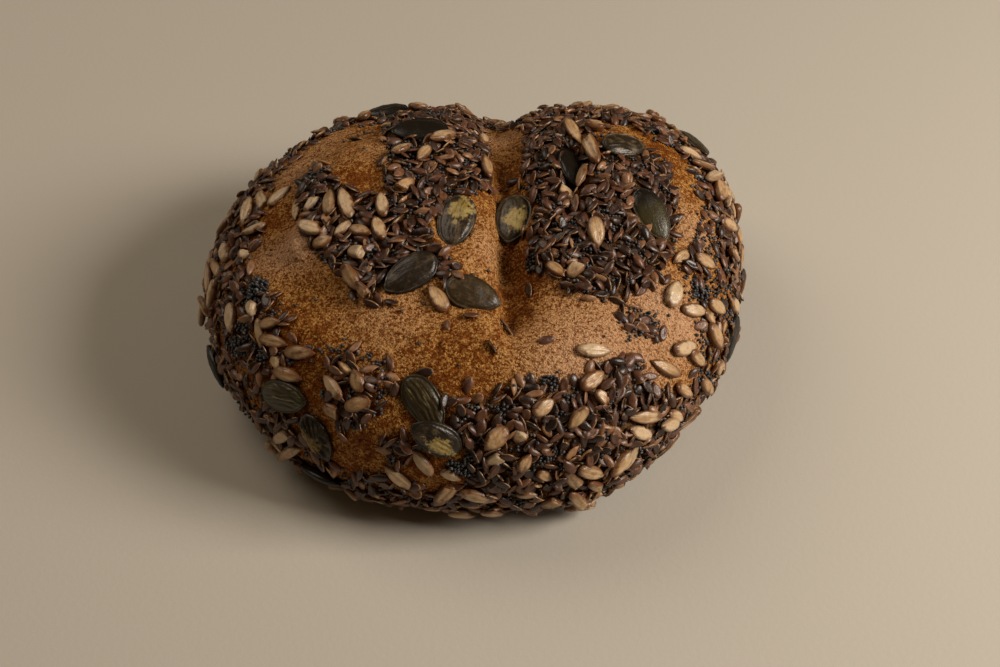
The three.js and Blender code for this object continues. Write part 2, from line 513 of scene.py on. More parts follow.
@dataclass(frozen=True)
class CrustFinish:
    """Baked crust under coarse meal: sandy grains, each with its own tone, on an orange brown ground, paler
    where it rose, darker where it was toasted. Painted shade darkens it under the seeds, in the torn hollow
    and the split, in the pores and between the grains, and painted light makes the notch paler. Reads the
    attributes toast_light_and_shade, meal_and_light and shade_under_seeds."""

    ground: Colour = srgb(114, 53, 0)
    # toasted crust, and painted shade under the seeds and in the splits
    toast_and_shade_brown: Colour = srgb(86, 37, 0)
    # painted shade, for the low ground between the grains
    gap: Colour = srgb(52, 22, 0)
    dull_grain: Colour = srgb(134, 76, 0)
    bright_grain: Colour = srgb(192, 136, 52)
    pale_grain: Colour = srgb(210, 164, 126)
    # painted shade, for the crust under crowded seeds and inside the pores
    painted_shade: Colour = srgb(30, 16, 7)
    grain_size: float = 0.48 * MM
    fine_size: float = 0.34 * MM
    sand_size: float = 0.52 * MM
    clump_size: float = 1.1 * MM
    small_blot_size: float = 2.4 * MM
    blot_size: float = 9 * MM
    pore_pitch: float = 5.5 * MM
    relief: float = 0.32 * MM

    def make(self) -> bpy.types.Material:
        """Draws the crust's material.

        Returns:
            The material.
        """
        graph = Graph("baked_crust")
        places = graph.places()
        toast_light_and_shade = graph.attribute("toast_light_and_shade")
        meal_and_light = graph.attribute("meal_and_light")
        blots = graph.noise(places, self.blot_size, 3)
        small_blots = graph.noise(places, self.small_blot_size, 3)
        apart, chance = graph.cells(places, self.grain_size)
        fine_apart, fine_chance = graph.cells(places, self.fine_size)
        sand = graph.noise(places, self.sand_size, 4).rise(0.4, 0.6)
        body = apart.rise(0.75, 0.25) * 0.4 + sand * 0.6
        toasting_light_and_shade = (toast_light_and_shade + (blots - 0.5) * 1.3 + (small_blots - 0.5) * 0.6).rise(0.0, 1.0)
        ground = graph.mix(toasting_light_and_shade, self.ground, self.toast_and_shade_brown)
        sanding = chance * 0.65 + fine_chance * 0.35
        bright = (sanding + meal_and_light * 0.35 - toasting_light_and_shade * 0.3 + (small_blots - 0.5) * 0.5).rise(0.2, 0.78)
        grain = graph.mix(bright, self.dull_grain, graph.mix(meal_and_light, self.bright_grain, self.pale_grain))
        dusting = 0.3 + (small_blots * 0.6 + blots * 0.4 + meal_and_light * 0.4).rise(0.47, 0.67) * 0.8
        clumps = graph.noise(places, self.clump_size, 4).rise(0.36, 0.6)
        cover = (0.25 + bright * 0.75) * (1 - toasting_light_and_shade * 0.3) * (0.4 + body * 0.6)
        cover = cover * (0.62 + clumps * 0.45) * dusting
        sanded = graph.mix((cover + meal_and_light.rise(0.8, 1.1) * 0.25).rise(-0.04, 0.8), ground, grain)
        # Painted shade: the ground between the raised grains is darkened.
        grain_gap_shade = (1 - body) * (1 - chance) * 0.7
        shaded = graph.mix(grain_gap_shade, sanded, self.gap)
        pore_apart, pore_chance = graph.cells(places, self.pore_pitch)
        pores = pore_apart.rise(0.11, 0.06) * pore_chance.rise(0.35, 0.45)
        # Painted shade: the crust is darkened where flax and poppy crowd over it, and inside the pricked
        # pores.
        painted_shade_share = graph.attribute("shade_under_seeds") * 0.9 + pores * 0.7
        with_painted_shade = graph.mix(painted_shade_share.rise(0.0, 1.0), shaded, self.painted_shade)
        sandy = body * (0.35 + chance * 0.65) + fine_apart.rise(0.7, 0.2) * fine_chance * 0.4
        normal = graph.bump(sandy * (0.5 + clumps * 0.5) + clumps * 0.5 - pores, self.relief)
        roughness = 0.82 - bright * 0.14
        return graph.surface(Base_Color=with_painted_shade, Roughness=roughness, Specular_IOR_Level=0.1, Normal=normal)


@dataclass(frozen=True)
class FlaxFinish:
    """Glossy flax seed, from wine brown to nearly black, with a thin pale rim that is partly its own pale edge
    and partly a painted highlight. Reads tone, rim and local.
    """

    darkest: Colour = srgb(28, 15, 8)
    dark: Colour = srgb(56, 33, 22)
    brown: Colour = srgb(94, 57, 38)
    light: Colour = srgb(146, 106, 72)
    # the pale rim: partly the seed's own edge, partly a painted highlight
    rim: Colour = srgb(176, 134, 90)

    def make(self) -> bpy.types.Material:
        """Draws the flax seeds' material.

        Returns:
            The material.
        """
        graph = Graph("flax_hull")
        local = graph.vector_attribute("local")
        streaks = graph.noise(graph.scaled(local, (0.25, 1, 1)), 0.35 * MM, 2)
        blots = graph.noise(local, 1.4 * MM, 2)
        shade = graph.attribute("tone") + (streaks - 0.5) * 0.25 + (blots - 0.5) * 0.4
        stops = [(0.0, self.darkest), (0.35, self.dark), (0.72, self.brown), (1.0, self.light)]
        skin = graph.ramp(shade, stops)
        # The pale rim is partly the seed's own edge and partly a painted highlight along it.
        pale_edge_and_highlight = graph.attribute("rim").rise(0.9, 1.0) * blots.rise(0.34, 0.6)
        edged = graph.mix(pale_edge_and_highlight * 0.9, skin, self.rim)
        normal = graph.bump(streaks * 0.5 + blots * 1.2, 0.12 * MM)
        roughness = 0.26 + blots * 0.24
        return graph.surface(Base_Color=edged, Roughness=roughness, Specular_IOR_Level=0.5, Normal=normal)


@dataclass(frozen=True)
class SunflowerFinish:
    """Hulled sunflower kernel: matt grey cream, striated lengthwise, toasted at its edges, which are also
    darkened as painted shade. Reads tone, rim and local."""

    cream: Colour = srgb(197, 163, 121)
    shadowed: Colour = srgb(142, 104, 64)
    toast_and_shade_brown: Colour = srgb(96, 56, 24)
    membrane: Colour = srgb(194, 170, 138)

    def make(self) -> bpy.types.Material:
        """Draws the kernels' material.

        Returns:
            The material.
        """
        graph = Graph("sunflower_kernel")
        tone = graph.attribute("tone")
        local = graph.vector_attribute("local")
        striae = graph.noise(graph.scaled(local, (0.12, 1, 1)), 0.75 * MM, 3)
        blots = graph.noise(local, 2.6 * MM, 3)
        lit = striae.rise(0.3, 0.62) * 0.5 + blots.rise(0.35, 0.6) * 0.5
        flesh = graph.mix(lit, self.shadowed, self.cream)
        skin = graph.mix((blots * 0.6 + tone * 0.7).rise(0.55, 1.0) * 0.75, flesh, self.membrane)
        # The edges are darkened partly by toasting and partly as painted shade around the kernel's outline.
        edge_toast_and_shade = graph.attribute("rim").rise(0.45, 1.0)
        browning_and_shade = edge_toast_and_shade * 0.8 + blots.rise(0.46, 0.72) * 0.6 + (1 - tone) * 0.65
        browned_and_shaded = graph.mix((browning_and_shade - 0.25).rise(0.0, 1.15), skin, self.toast_and_shade_brown)
        normal = graph.bump(striae * 1.2 + blots * 0.8, 0.22 * MM)
        return graph.surface(Base_Color=browned_and_shaded, Roughness=0.34, Specular_IOR_Level=0.5, Normal=normal)


@dataclass(frozen=True)
class PoppyFinish:
    """Poppy seed: dull blue black, each with its own tone and a netted skin. Reads tone and local."""

    dark: Colour = srgb(26, 24, 24)
    blue: Colour = srgb(62, 62, 65)
    pale: Colour = srgb(112, 107, 103)

    def make(self) -> bpy.types.Material:
        """Draws the poppy seeds' material.

        Returns:
            The material.
        """
        graph = Graph("poppy_hull")
        net = graph.noise(graph.vector_attribute("local"), 0.24 * MM, 1)
        shade = graph.attribute("tone") + (net - 0.5) * 0.5
        skin = graph.ramp(shade, [(0.0, self.dark), (0.7, self.blue), (1.0, self.pale)])
        normal = graph.bump(net, 0.06 * MM)
        return graph.surface(Base_Color=skin, Roughness=0.48, Specular_IOR_Level=0.5, Normal=normal)


@dataclass(frozen=True)
class PumpkinSeedFinish:
    """Pumpkin seed: dark olive skin under a grey bloom, a nearly black rim, fine pale scratches along it, and
    places where the skin has come off the yellow kernel. Reads local, rim, bloom, green, darkness, peeled
    and scratched."""

    olive: Colour = srgb(62, 42, 24)
    green: Colour = srgb(56, 50, 22)
    dark: Colour = srgb(20, 14, 7)
    bloom: Colour = srgb(104, 84, 60)
    scratch: Colour = srgb(126, 116, 76)
    kernel: Colour = srgb(142, 112, 42)
    pale_kernel: Colour = srgb(172, 152, 98)

    def make(self) -> bpy.types.Material:
        """Draws the pumpkin seeds' material.

        Returns:
            The material.
        """
        graph = Graph("pumpkin_seed_skin")
        rim = graph.attribute("rim")
        darkness = graph.attribute("darkness")
        local = graph.vector_attribute("local")
        fibres = graph.noise(graph.scaled(local, (0.14, 1, 1)), 0.5 * MM, 3)
        blots = graph.noise(local, 2.4 * MM, 3)
        specks = graph.noise(local, 0.55 * MM, 3)
        skin = graph.mix(graph.attribute("green") * (0.6 + blots * 0.8), self.olive, self.green)
        shade = darkness + (fibres - 0.5) * 0.3 + (blots - 0.5) * 0.7
        shaded = graph.mix(shade.rise(0.1, 1.0), skin, self.dark)
        dusty = graph.attribute("bloom") * (0.35 + specks * 0.9) * blots.rise(0.3, 0.75)
        bloomed = graph.mix(dusty.rise(0.12, 0.7) * 0.6, shaded, self.bloom)
        lines = graph.noise(graph.scaled(local, (0.05, 1, 0.3)), 0.34 * MM, 1).rise(0.6, 0.68)
        scratching = graph.attribute("scratched") * lines * blots.rise(0.42, 0.6)
        scratched = graph.mix(scratching * 0.6, bloomed, self.scratch)
        bare = (graph.attribute("peeled") + (specks - 0.5) * 0.7 + (blots - 0.5) * 1.3).rise(0.42, 0.7)
        kernel = graph.mix((specks + blots - 0.5).rise(0.3, 0.7), self.kernel, self.pale_kernel)
        shreds = fibres.rise(0.56, 0.64) * 0.5 + specks.rise(0.54, 0.6) * 0.4
        peeled = graph.mix(bare * (0.95 - shreds), scratched, kernel)
        edged = graph.mix(rim.rise(0.86, 1.0) * 0.5, peeled, self.dark)
        normal = graph.bump(fibres * 0.6 + specks * 0.5 + blots * 0.6, 0.14 * MM)
        roughness = 0.26 + specks * 0.18
        return graph.surface(Base_Color=edged, Roughness=roughness, Specular_IOR_Level=0.42, Normal=normal)


@dataclass(frozen=True)
class FloorFinish:
    """Plain pale studio paper."""

    paper: Colour = srgb(184, 177, 166)

    def make(self) -> bpy.types.Material:
        """Draws the floor's material.

        Returns:
            The material.
        """
        graph = Graph("studio_paper")
        tooth = graph.noise(graph.places(), 1.5 * MM, 2)
        return graph.surface(Base_Color=self.paper, Roughness=0.9, Normal=graph.bump(tooth, 0.05 * MM))


# ---- Bread ----


@dataclass(frozen=True)
class Stroke:
    """A hollow pressed into the crust along a line between two pixels, or a swelling where its depth is below
    0. Depth and width in metres."""

    start: Pixel
    end: Pixel
    depth: float
    width: float


@dataclass(frozen=True)
class Fold:
    """The crease where it is sharp: a cliff on its left and a slope up to its right, along a line of pixels,
    with a depth in metres for each. It is there only above the floor height."""

    line: tuple[Pixel, ...]
    depths: tuple[float, ...]
    cliff: float
    slope: float
    floor: float


@dataclass(frozen=True)
class Spot:
    """A round place on the crust, by its pixel, with how much of something it gets."""

    pixel: Pixel
    radius: float
    amount: float


def spots(*rows: tuple[float, float, float, float]) -> tuple[Spot, ...]:
    """Spots from rows of a pixel's column and row, a radius in millimetres and an amount."""
    return tuple(Spot((column, row), radius * MM, amount) for column, row, radius, amount in rows)


# The torn hollow in the right lobe, and a split by a kernel near the front.
SPLITS = (
    Stroke((578, 140), (572, 182), 3.6 * MM, 2.6 * MM),
    Stroke((572, 182), (570, 214), 3.4 * MM, 2.4 * MM),
    Stroke((632, 444), (619, 466), 2.4 * MM, 1.0 * MM),
)
# The pricked pits of the middle, and two blisters of the left lobe.
PITS = (
    Stroke((437, 344), (437, 345), 1.1 * MM, 0.8 * MM),
    Stroke((404, 338), (407, 338), 0.7 * MM, 0.7 * MM),
    Stroke((371, 188), (373, 188), 1.4 * MM, 0.9 * MM),
    Stroke((506, 318), (508, 326), 1.6 * MM, 1.6 * MM),
    Stroke((297, 234), (299, 252), -1.5 * MM, 3.0 * MM),
    Stroke((290, 178), (281, 204), -0.9 * MM, 3.6 * MM),
)
CREASE = Fold(
    line=((499, 236), (501, 262), (503, 292), (506, 322), (507, 330)),
    depths=(0.0, 0.6 * MM, 1.5 * MM, 2.0 * MM, 1.4 * MM),
    cliff=0.7 * MM,
    slope=6.5 * MM,
    floor=30 * MM,
)
# Where the crust is toasted darker, above 0, or stayed pale, below 0. The pale spot at (504, 140) is painted
# light on the notch, which the two lobes shade.
TOAST_AND_LIGHT = spots(
    (520, 265, 8, 0.35), (530, 300, 8, 0.4), (515, 320, 5, 0.45), (504, 140, 8, -0.45), (360, 170, 7, 0.4),
    (450, 365, 13, 0.3), (360, 455, 12, 0.05), (300, 350, 12, 0.35), (262, 225, 7, 0.35),
    (665, 150, 8, 0.25), (432, 440, 8, 0.4), (488, 235, 7, -0.1), (492, 305, 6, -0.2),
    (400, 310, 12, -0.1), (590, 335, 15, -0.35), (640, 380, 12, -0.25), (297, 243, 6, -0.4),
    (285, 185, 8, -0.2),
)
# Where meal lies thickest. The spot at (504, 140) is painted light on the notch, which the two lobes shade.
MEAL_AND_LIGHT = spots(
    (590, 330, 18, 0.45), (490, 250, 8, 0.4), (640, 380, 14, 0.4), (297, 243, 7, 0.8), (298, 172, 9, 0.5),
    (268, 258, 7, 0.45), (248, 205, 8, 0.4), (380, 150, 10, 0.3), (390, 310, 14, 0.3), (560, 380, 10, 0.3),
    (695, 230, 9, 0.55), (690, 330, 10, 0.6), (650, 290, 8, 0.5), (330, 140, 8, 0.35), (504, 140, 8, 0.5),
)


@dataclass
class Bread:
    """The one piece of bread, from its CAD solid: remeshed, carved and roughened."""

    voxel: float = 0.78 * MM
    smoothing: int = 7
    lumps: tuple = ((7.0 * MM, 0.5 * MM), (2.6 * MM, 0.34 * MM), (1.3 * MM, 0.3 * MM))  # size and depth
    toasted_foot: tuple = (14 * MM, 2 * MM)  # the heights where the toasted foot starts and is full
    base_meal: float = 0.25
    piece: bpy.types.Object = field(init=False)
    surface: BVHTree = field(init=False)

    def build(self) -> bpy.types.Object:
        """Models the crust's final mesh.

        Returns:
            The piece.
        """
        self.piece = link("bread_crust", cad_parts["bread"].data.copy())
        activate(self.piece)
        bpy.ops.object.mode_set(mode="EDIT")
        bpy.ops.mesh.select_all(action="SELECT")
        bpy.ops.mesh.remove_doubles(threshold=0.01 * MM)
        leave_edit_mode()
        apply_modifier(self.piece, "REMESH", mode="VOXEL", voxel_size=self.voxel)
        apply_modifier(self.piece, "SMOOTH", factor=0.5, iterations=self.smoothing)
        self._measure()
        self._carve()
        self._roughen()
        bpy.ops.object.shade_smooth()
        self._measure()
        return self.piece

    def _measure(self) -> None:
        """Keeps the crust as it is now for rays to meet."""
        self.surface = BVHTree.FromObject(self.piece, bpy.context.evaluated_depsgraph_get())

    def place(self, pixel: Pixel) -> Vector:
        """Finds the place on the crust that a pixel shows.

        Args:
            pixel: The pixel. One just outside the loaf is drawn in until it meets it.

        Returns:
            The place.
        """
        at, heart = Vector(pixel), Vector(PHOTO.heart)
        while True:
            hit = self.surface.ray_cast(PHOTO.eye, PHOTO.ray(at))[0]
            if hit is not None:
                return hit
            at += (heart - at).normalized()

    def ends(self, stroke: Stroke) -> tuple[np.ndarray, np.ndarray]:
        """The places where a stroke starts and ends."""
        return np.array(self.place(stroke.start)), np.array(self.place(stroke.end))

    def _carve(self) -> None:
        """Presses the hollows and the fold into the crust."""
        mesh = self.piece.data
        places, normals = coordinates(mesh), vertex_normals(mesh)
        for hollow in SPLITS + PITS:
            gap, _ = from_stretch(places, *self.ends(hollow))
            places -= normals * (hollow.depth * bell(np.linalg.norm(gap, axis=1), hollow.width))[:, None]
        places[:, 2] -= self._fold_depth(places)
        move_vertices(mesh, places)

    def _fold_depth(self, places: np.ndarray) -> np.ndarray:
        """Works out how far down the sharp crease takes the crust.

        Args:
            places: The crust's vertices.

        Returns:
            How far each one goes down.
        """
        line = [np.array(self.place(pixel))[:2] for pixel in CREASE.line]
        nearest = np.full(len(places), np.inf)
        depth = np.zeros(len(places))
        for start, end, first, last in zip(line, line[1:], CREASE.depths, CREASE.depths[1:]):
            gap, share = from_stretch(places[:, :2], start, end)
            apart = np.hypot(*gap.T)
            width = np.where(gap[:, 0] < 0, CREASE.cliff, CREASE.slope)
            depth = np.where(apart < nearest, (first + share * (last - first)) * bell(apart, width), depth)
            nearest = np.minimum(nearest, apart)
        return depth * (places[:, 2] > CREASE.floor)

    def _roughen(self) -> None:
        """Gives the crust its lumps and its grain, and keeps its base flat."""
        mesh = self.piece.data
        before = coordinates(mesh)
        for size, depth in self.lumps:
            texture = bpy.data.textures.new("lumps", "CLOUDS")
            texture.noise_scale = size
            texture.noise_depth = 1
            lumpy = {"texture": texture, "texture_coords": "LOCAL", "strength": depth, "mid_level": 0.5}
            apply_modifier(self.piece, "DISPLACE", **lumpy)
        above_base = smoothstep(before[:, 2], 0.2 * MM, 2.5 * MM)
        after = before + (coordinates(mesh) - before) * above_base[:, None]
        after[:, 2] = np.maximum(after[:, 2], 0)
        move_vertices(mesh, after)

    def dress(self, coat: "Coat") -> None:
        """Gives the crust its finish, with how toasted and how mealy each place is, the painted shade under
        seeds and in the splits, and the painted light on the notch.

        Args:
            coat: What lies on the crust.
        """
        mesh = self.piece.data
        places = coordinates(mesh)
        toast_light_and_shade = self._spread(places, TOAST_AND_LIGHT)
        meal_and_light = self.base_meal + self._spread(places, MEAL_AND_LIGHT)
        toast_light_and_shade += 0.5 * smoothstep(-places[:, 2], *(-height for height in self.toasted_foot))
        # Painted shade: the crust is darkened where seeds lie on it.
        toast_light_and_shade += 0.25 * smoothstep(coat.height, 0.2 * MM, 0.8 * MM)
        # Painted shade: the torn hollow and the split by the kernel are darkened.
        for split in SPLITS:
            start, end = self.ends(split)
            toast_light_and_shade += 1.2 * bell(np.linalg.norm(places - (start * 0.5 + end * 0.5), axis=1), 5 * MM)
        # Painted shade under crowded flax and poppy.
        crowd = np.maximum(coat.flax, 0.7 * coat.poppy)
        write_attribute(mesh, "shade_under_seeds", smoothstep(crowd, 0.3, 0.95) * 0.8)
        write_attribute(mesh, "toast_light_and_shade", toast_light_and_shade)
        write_attribute(mesh, "meal_and_light", np.clip(meal_and_light - 0.4 * np.maximum(toast_light_and_shade, 0), 0, 1))
        mesh.materials.clear()
        mesh.materials.append(CrustFinish().make())

    def _spread(self, places: np.ndarray, where: tuple[Spot, ...]) -> np.ndarray:
        """Adds spots up.

        Args:
            places: The crust's vertices.
            where: The spots.

        Returns:
            The sum of the spots' amounts at each vertex.
        """
        total = np.zeros(len(places))
        for spot in where:
            apart = np.linalg.norm(places - np.array(self.place(spot.pixel)), axis=1)
            total += spot.amount * bell(apart, spot.radius)
        return total


# ---- Where seeds lie ----


@dataclass(frozen=True)
class Patch:
    """A stretch of crust, outlined in pixels, and how thickly flax and poppy lie on it, from 0 to 1."""

    outline: tuple[Pixel, ...]
    flax: float
    poppy: float

    def inside(self, pixels: np.ndarray) -> np.ndarray:
        """Measures how far inside the outline pixels are.

        Args:
            pixels: The column and row of each.

        Returns:
            How far inside each one is, in pixels, below 0 outside.
        """
        corners = np.array(self.outline, float)
        columns, rows = pixels.T
        apart = np.full(len(pixels), np.inf)
        within = np.zeros(len(pixels), bool)
        for start, end in zip(corners, np.roll(corners, -1, 0)):
            gap, _ = from_stretch(pixels, start, end)
            apart = np.minimum(apart, np.hypot(*gap.T))
            across, down = end - start
            crosses = (start[1] > rows) != (end[1] > rows)
            within ^= crosses & (columns < start[0] + (rows - start[1]) * across / (down or 1e-9))
        return np.where(within, apart, -apart)


PATCHES = (
    # the right lobe, and the rim behind and beside it
    Patch(
        (
            (527, 150), (532, 125), (560, 118), (585, 122), (600, 140), (640, 158), (662, 160), (672, 190),
            (678, 222), (676, 245), (662, 270), (640, 290), (615, 300), (590, 298), (570, 290), (545, 275),
            (530, 255), (530, 235), (539, 210), (528, 190),
        ), 1.0, 0.4,
    ),
    Patch(
        (
            (522, 130), (530, 112), (560, 103), (600, 100), (640, 104), (685, 120), (720, 165), (742, 215),
            (752, 260), (752, 310), (735, 310), (726, 262), (710, 205), (690, 165), (665, 142), (630, 126),
            (600, 120), (560, 124), (530, 134),
        ), 0.85, 0.3,
    ),
    Patch(
        (
            (690, 150), (715, 165), (738, 215), (748, 300), (742, 340), (724, 380), (708, 405), (690, 395),
            (700, 350), (690, 300), (680, 270), (690, 240), (700, 215), (690, 180),
        ), 0.3, 0.2,
    ),
    # the left lobe, and the rim beside it
    Patch(
        (
            (385, 115), (430, 100), (472, 112), (483, 140), (487, 165), (487, 186), (474, 195), (445, 198),
            (430, 215), (437, 250), (450, 262), (455, 275), (447, 283), (428, 262), (400, 262), (385, 290),
            (372, 298), (355, 290), (345, 267), (326, 262), (313, 252), (307, 228), (302, 204), (303, 180),
            (318, 165), (335, 180), (360, 195), (385, 200), (385, 180), (388, 150),
        ), 0.95, 0.45,
    ),
    Patch(
        (
            (400, 100), (330, 114), (280, 145), (240, 185), (210, 240), (192, 300), (208, 350), (235, 405),
            (270, 450), (320, 490), (380, 515), (400, 498), (350, 480), (318, 440), (300, 415), (300, 385),
            (312, 360), (298, 335), (280, 305), (262, 285), (245, 262), (262, 235), (262, 205), (275, 180),
            (300, 150), (335, 128), (385, 125),
        ), 0.4, 0.12,
    ),
    # the front
    Patch(
        (
            (458, 402), (500, 392), (530, 376), (560, 390), (600, 362), (640, 358), (652, 385), (690, 402),
            (702, 430), (655, 485), (590, 506), (530, 508), (494, 500), (462, 486), (468, 455), (455, 425),
        ), 0.8, 0.35,
    ),
    Patch(((322, 352), (345, 348), (392, 362), (396, 385), (370, 425), (345, 432), (325, 400)), 0.5, 0.35),
    Patch(((620, 318), (638, 307), (653, 316), (650, 334), (630, 339)), 0.75, 0.5),
    Patch(((383, 440), (402, 436), (414, 450), (404, 466), (386, 462)), 0.55, 0.6),
    Patch(
        (
            (345, 478), (372, 470), (402, 480), (430, 488), (462, 484), (500, 498), (496, 520), (440, 518),
            (380, 512), (345, 496),
        ), 0.5, 0.3,
    ),
)
# Nests of poppy seed.
POPPY_NESTS = spots(
    (318, 178, 4.5, 1.7), (322, 200, 3.5, 1), (402, 170, 3.5, 1), (255, 293, 5, 2), (240, 340, 5, 1.5),
    (262, 352, 4, 1), (510, 412, 4.5, 1), (535, 408, 4.5, 1), (560, 415, 4, 1), (600, 215, 4.5, 1),
    (622, 238, 5, 1), (640, 255, 4, 1), (580, 463, 5, 1), (548, 452, 4, 1), (700, 290, 4, 1),
    (475, 466, 4.5, 1), (550, 384, 3, 0.7), (590, 250, 3.5, 0.8), (535, 262, 3.5, 0.8), (345, 205, 4, 0.8),
    (650, 325, 3, 0.7), (455, 470, 4, 0.8), (355, 395, 3, 0.6), (610, 395, 3.5, 0.7),
)


@dataclass
class Coat:
    """What lies on the crust so far: how high it stands over each vertex, and how thickly seeds may yet lie
    there."""

    bread: Bread
    patch_softness: float = 5.0  # pixels over which a patch fades in
    strays: tuple = (0.003, 0.0015)  # how thickly flax and poppy lie outside the patches
    nest_poppy: float = 1.6  # how thickly poppy lies in a nest of amount 1
    hidden_flax_size: float = 16 * MM  # the size of the patches on the sides that the photograph doesn't show
    hidden_poppy_size: float = 9 * MM
    steepest: float = 0.65  # the steepest slope that a seed lies along
    rest_share: float = 0.85  # the share of the coat under a seed that it may not sink into
    most_propped: float = 0.9 * MM  # how far a seed's neighbours may hold it up over what is under its middle
    bridged: float = 0.9 * MM  # the widest gap under a seed that counts as filled by it
    highest_pile: float = 3.2 * MM  # the highest top of the coat on which a seed may lie

    def __post_init__(self) -> None:
        """Reads the crust's mesh and works out where flax and poppy lie."""
        mesh = self.bread.piece.data
        self.places, self.normals = coordinates(mesh), vertex_normals(mesh)
        self.height = np.zeros(len(self.places))
        self.taken = np.zeros(len(self.places), bool)
        self.tree = KDTree(len(self.places))
        for index, place in enumerate(self.places):
            self.tree.insert(place, index)
        self.tree.balance()
        self.facing = PHOTO.facing(self.places, self.normals)
        self._map_patches()

    def _map_patches(self) -> None:
        """Works out how thickly flax and poppy lie at each vertex."""
        pixels = PHOTO.pixels(self.places)
        seen = smoothstep(self.facing, 0.0, 0.16)
        flax, poppy = (np.full(len(seen), stray) for stray in self.strays)
        for patch in PATCHES:
            share = smoothstep(patch.inside(pixels), -self.patch_softness, self.patch_softness)
            flax = np.maximum(flax, share * patch.flax)
            poppy = np.maximum(poppy, share * patch.poppy)
        hidden_flax = 0.5 + rough(self.places, self.hidden_flax_size) * 1.1
        hidden_poppy = 0.4 + rough(self.places, self.hidden_poppy_size, Vector((7, 3, 1))) * 1.4
        flax = seen * flax + (1 - seen) * np.clip(hidden_flax, 0.04, 1)
        poppy = seen * poppy + (1 - seen) * np.clip(hidden_poppy, 0.02, 1)
        for nest in POPPY_NESTS:
            apart = np.linalg.norm(self.places - np.array(self.bread.place(nest.pixel)), axis=1)
            share = smoothstep(-apart, -nest.radius, -nest.radius * 0.5)
            poppy = np.maximum(poppy, share * nest.amount * self.nest_poppy)
            flax *= 1 - 0.4 * share * nest.amount
        above_base = smoothstep(self.places[:, 2], 2.5 * MM, 7 * MM)
        torn = np.zeros(len(seen))
        for split in SPLITS:
            gap, _ = from_stretch(self.places, *self.bread.ends(split))
            torn = np.maximum(torn, bell(np.linalg.norm(gap, axis=1), split.width * 0.9))
        self.flax = flax * above_base * (1 - torn)
        self.poppy = poppy * above_base * (1 - 0.7 * torn)

    def near(self, centre: Vector, radius: float) -> np.ndarray:
        """The vertices within a radius."""
        return np.array([index for _, index, _ in self.tree.find_range(centre, radius)], int)

    def _under(
        self, near: np.ndarray, centre: Vector, axes: Matrix, size: Vector
    ) -> tuple[np.ndarray, np.ndarray]:
        """Looks at the coat under an oval.

        Args:
            near: The vertices to look at.
            centre: The oval's middle.
            axes: Its axes, as columns.
            size: Its length, width and thickness.

        Returns:
            The coat's top over each vertex, along the oval's axes, and how thick the oval is there, from 0
            past its edge to 1 at its middle.
        """
        tops = self.places[near] + self.normals[near] * self.height[near][:, None]
        over = (tops - np.array(centre)) @ np.array(axes)
        reach = (over[:, 0] / (size.x / 2)) ** 2 + (over[:, 1] / (size.y / 2)) ** 2
        return over, np.sqrt(np.clip(1 - reach, 0, 1))

    def bed(self, centre: Vector, ahead: Vector, size: Vector, sink: float, turn: Quaternion) -> Matrix:
        """Lays a flat oval thing on the coat, tilted as what is under it.

        Args:
            centre: The place on the crust under its middle.
            ahead: The way its pointed end goes, roughly.
            size: Its length, width and thickness.
            sink: How far it is pressed in.
            turn: A tilt of its own, about its own axes.

        Returns:
            Its place and turn: X along it, Z out of the crust.
        """
        near = self.near(centre, size.x * 0.5)
        normal = Vector(self.normals[near].mean(0)).normalized()
        for _ in range(2):
            axes = self._axes(normal, ahead)
            over, thick = self._under(near, centre, axes, size)
            over = over[thick > 0]
            if len(over) < 4:
                break
            plane = np.column_stack([np.ones(len(over)), over[:, :2]])
            slope = Vector(np.linalg.lstsq(plane, over[:, 2], rcond=None)[0][1:])
            slope *= min(1, self.steepest / max(slope.length, 1e-9))
            normal = (axes.col[2] - axes.col[0] * slope.x - axes.col[1] * slope.y).normalized()
        axes = self._axes(normal, ahead) @ turn.to_matrix()
        over, thick = self._under(near, centre, axes, size)
        tops = (over[:, 2] + thick * size.z / 2)[thick > 0]
        rest = np.quantile(tops, self.rest_share) if len(tops) else 0.0
        rest = min(rest, self.height[self.tree.find(centre)[1]] + size.z * 0.5 + self.most_propped)
        place = axes.to_4x4()
        place.translation = centre + axes.col[2] * (rest - sink)
        return place

    def cover(self, place: Matrix, size: Vector, takes: float = 0.0) -> None:
        """Raises the coat to the top of a thing that lies on it, and takes what is to stay clear around it.

        Args:
            place: Its place and turn.
            size: Its length, width and thickness.
            takes: The share of its footprint where no more seeds may have their middle.
        """
        near = self.near(place.translation, size.x * 0.55)
        axes = place.to_3x3()
        over, thick = self._under(near, place.translation, axes, size)
        gap = -thick * size.z / 2 - over[:, 2]
        facing = self.normals[near] @ np.array(axes.col[2])
        gain = (thick * size.z / 2 - over[:, 2]) / np.maximum(0.6, facing)
        raised = (thick > 0) & (gain > 0) & (gap < self.bridged) & (facing > 0.3)
        self.height[near[raised]] += gain[raised]
        reach = np.hypot(over[:, 0] / (size.x / 2), over[:, 1] / (size.y / 2))
        self.taken[near[(reach < takes) & (np.abs(over[:, 2]) < 3 * size.z)]] = True

    @staticmethod
    def _axes(normal: Vector, ahead: Vector) -> Matrix:
        """Three axes as columns: ahead along the surface, to the left of it, and out."""
        along = (ahead - normal * ahead.dot(normal)).normalized()
        return Matrix((along, normal.cross(along), normal)).transposed()


# ---- Small seeds ----


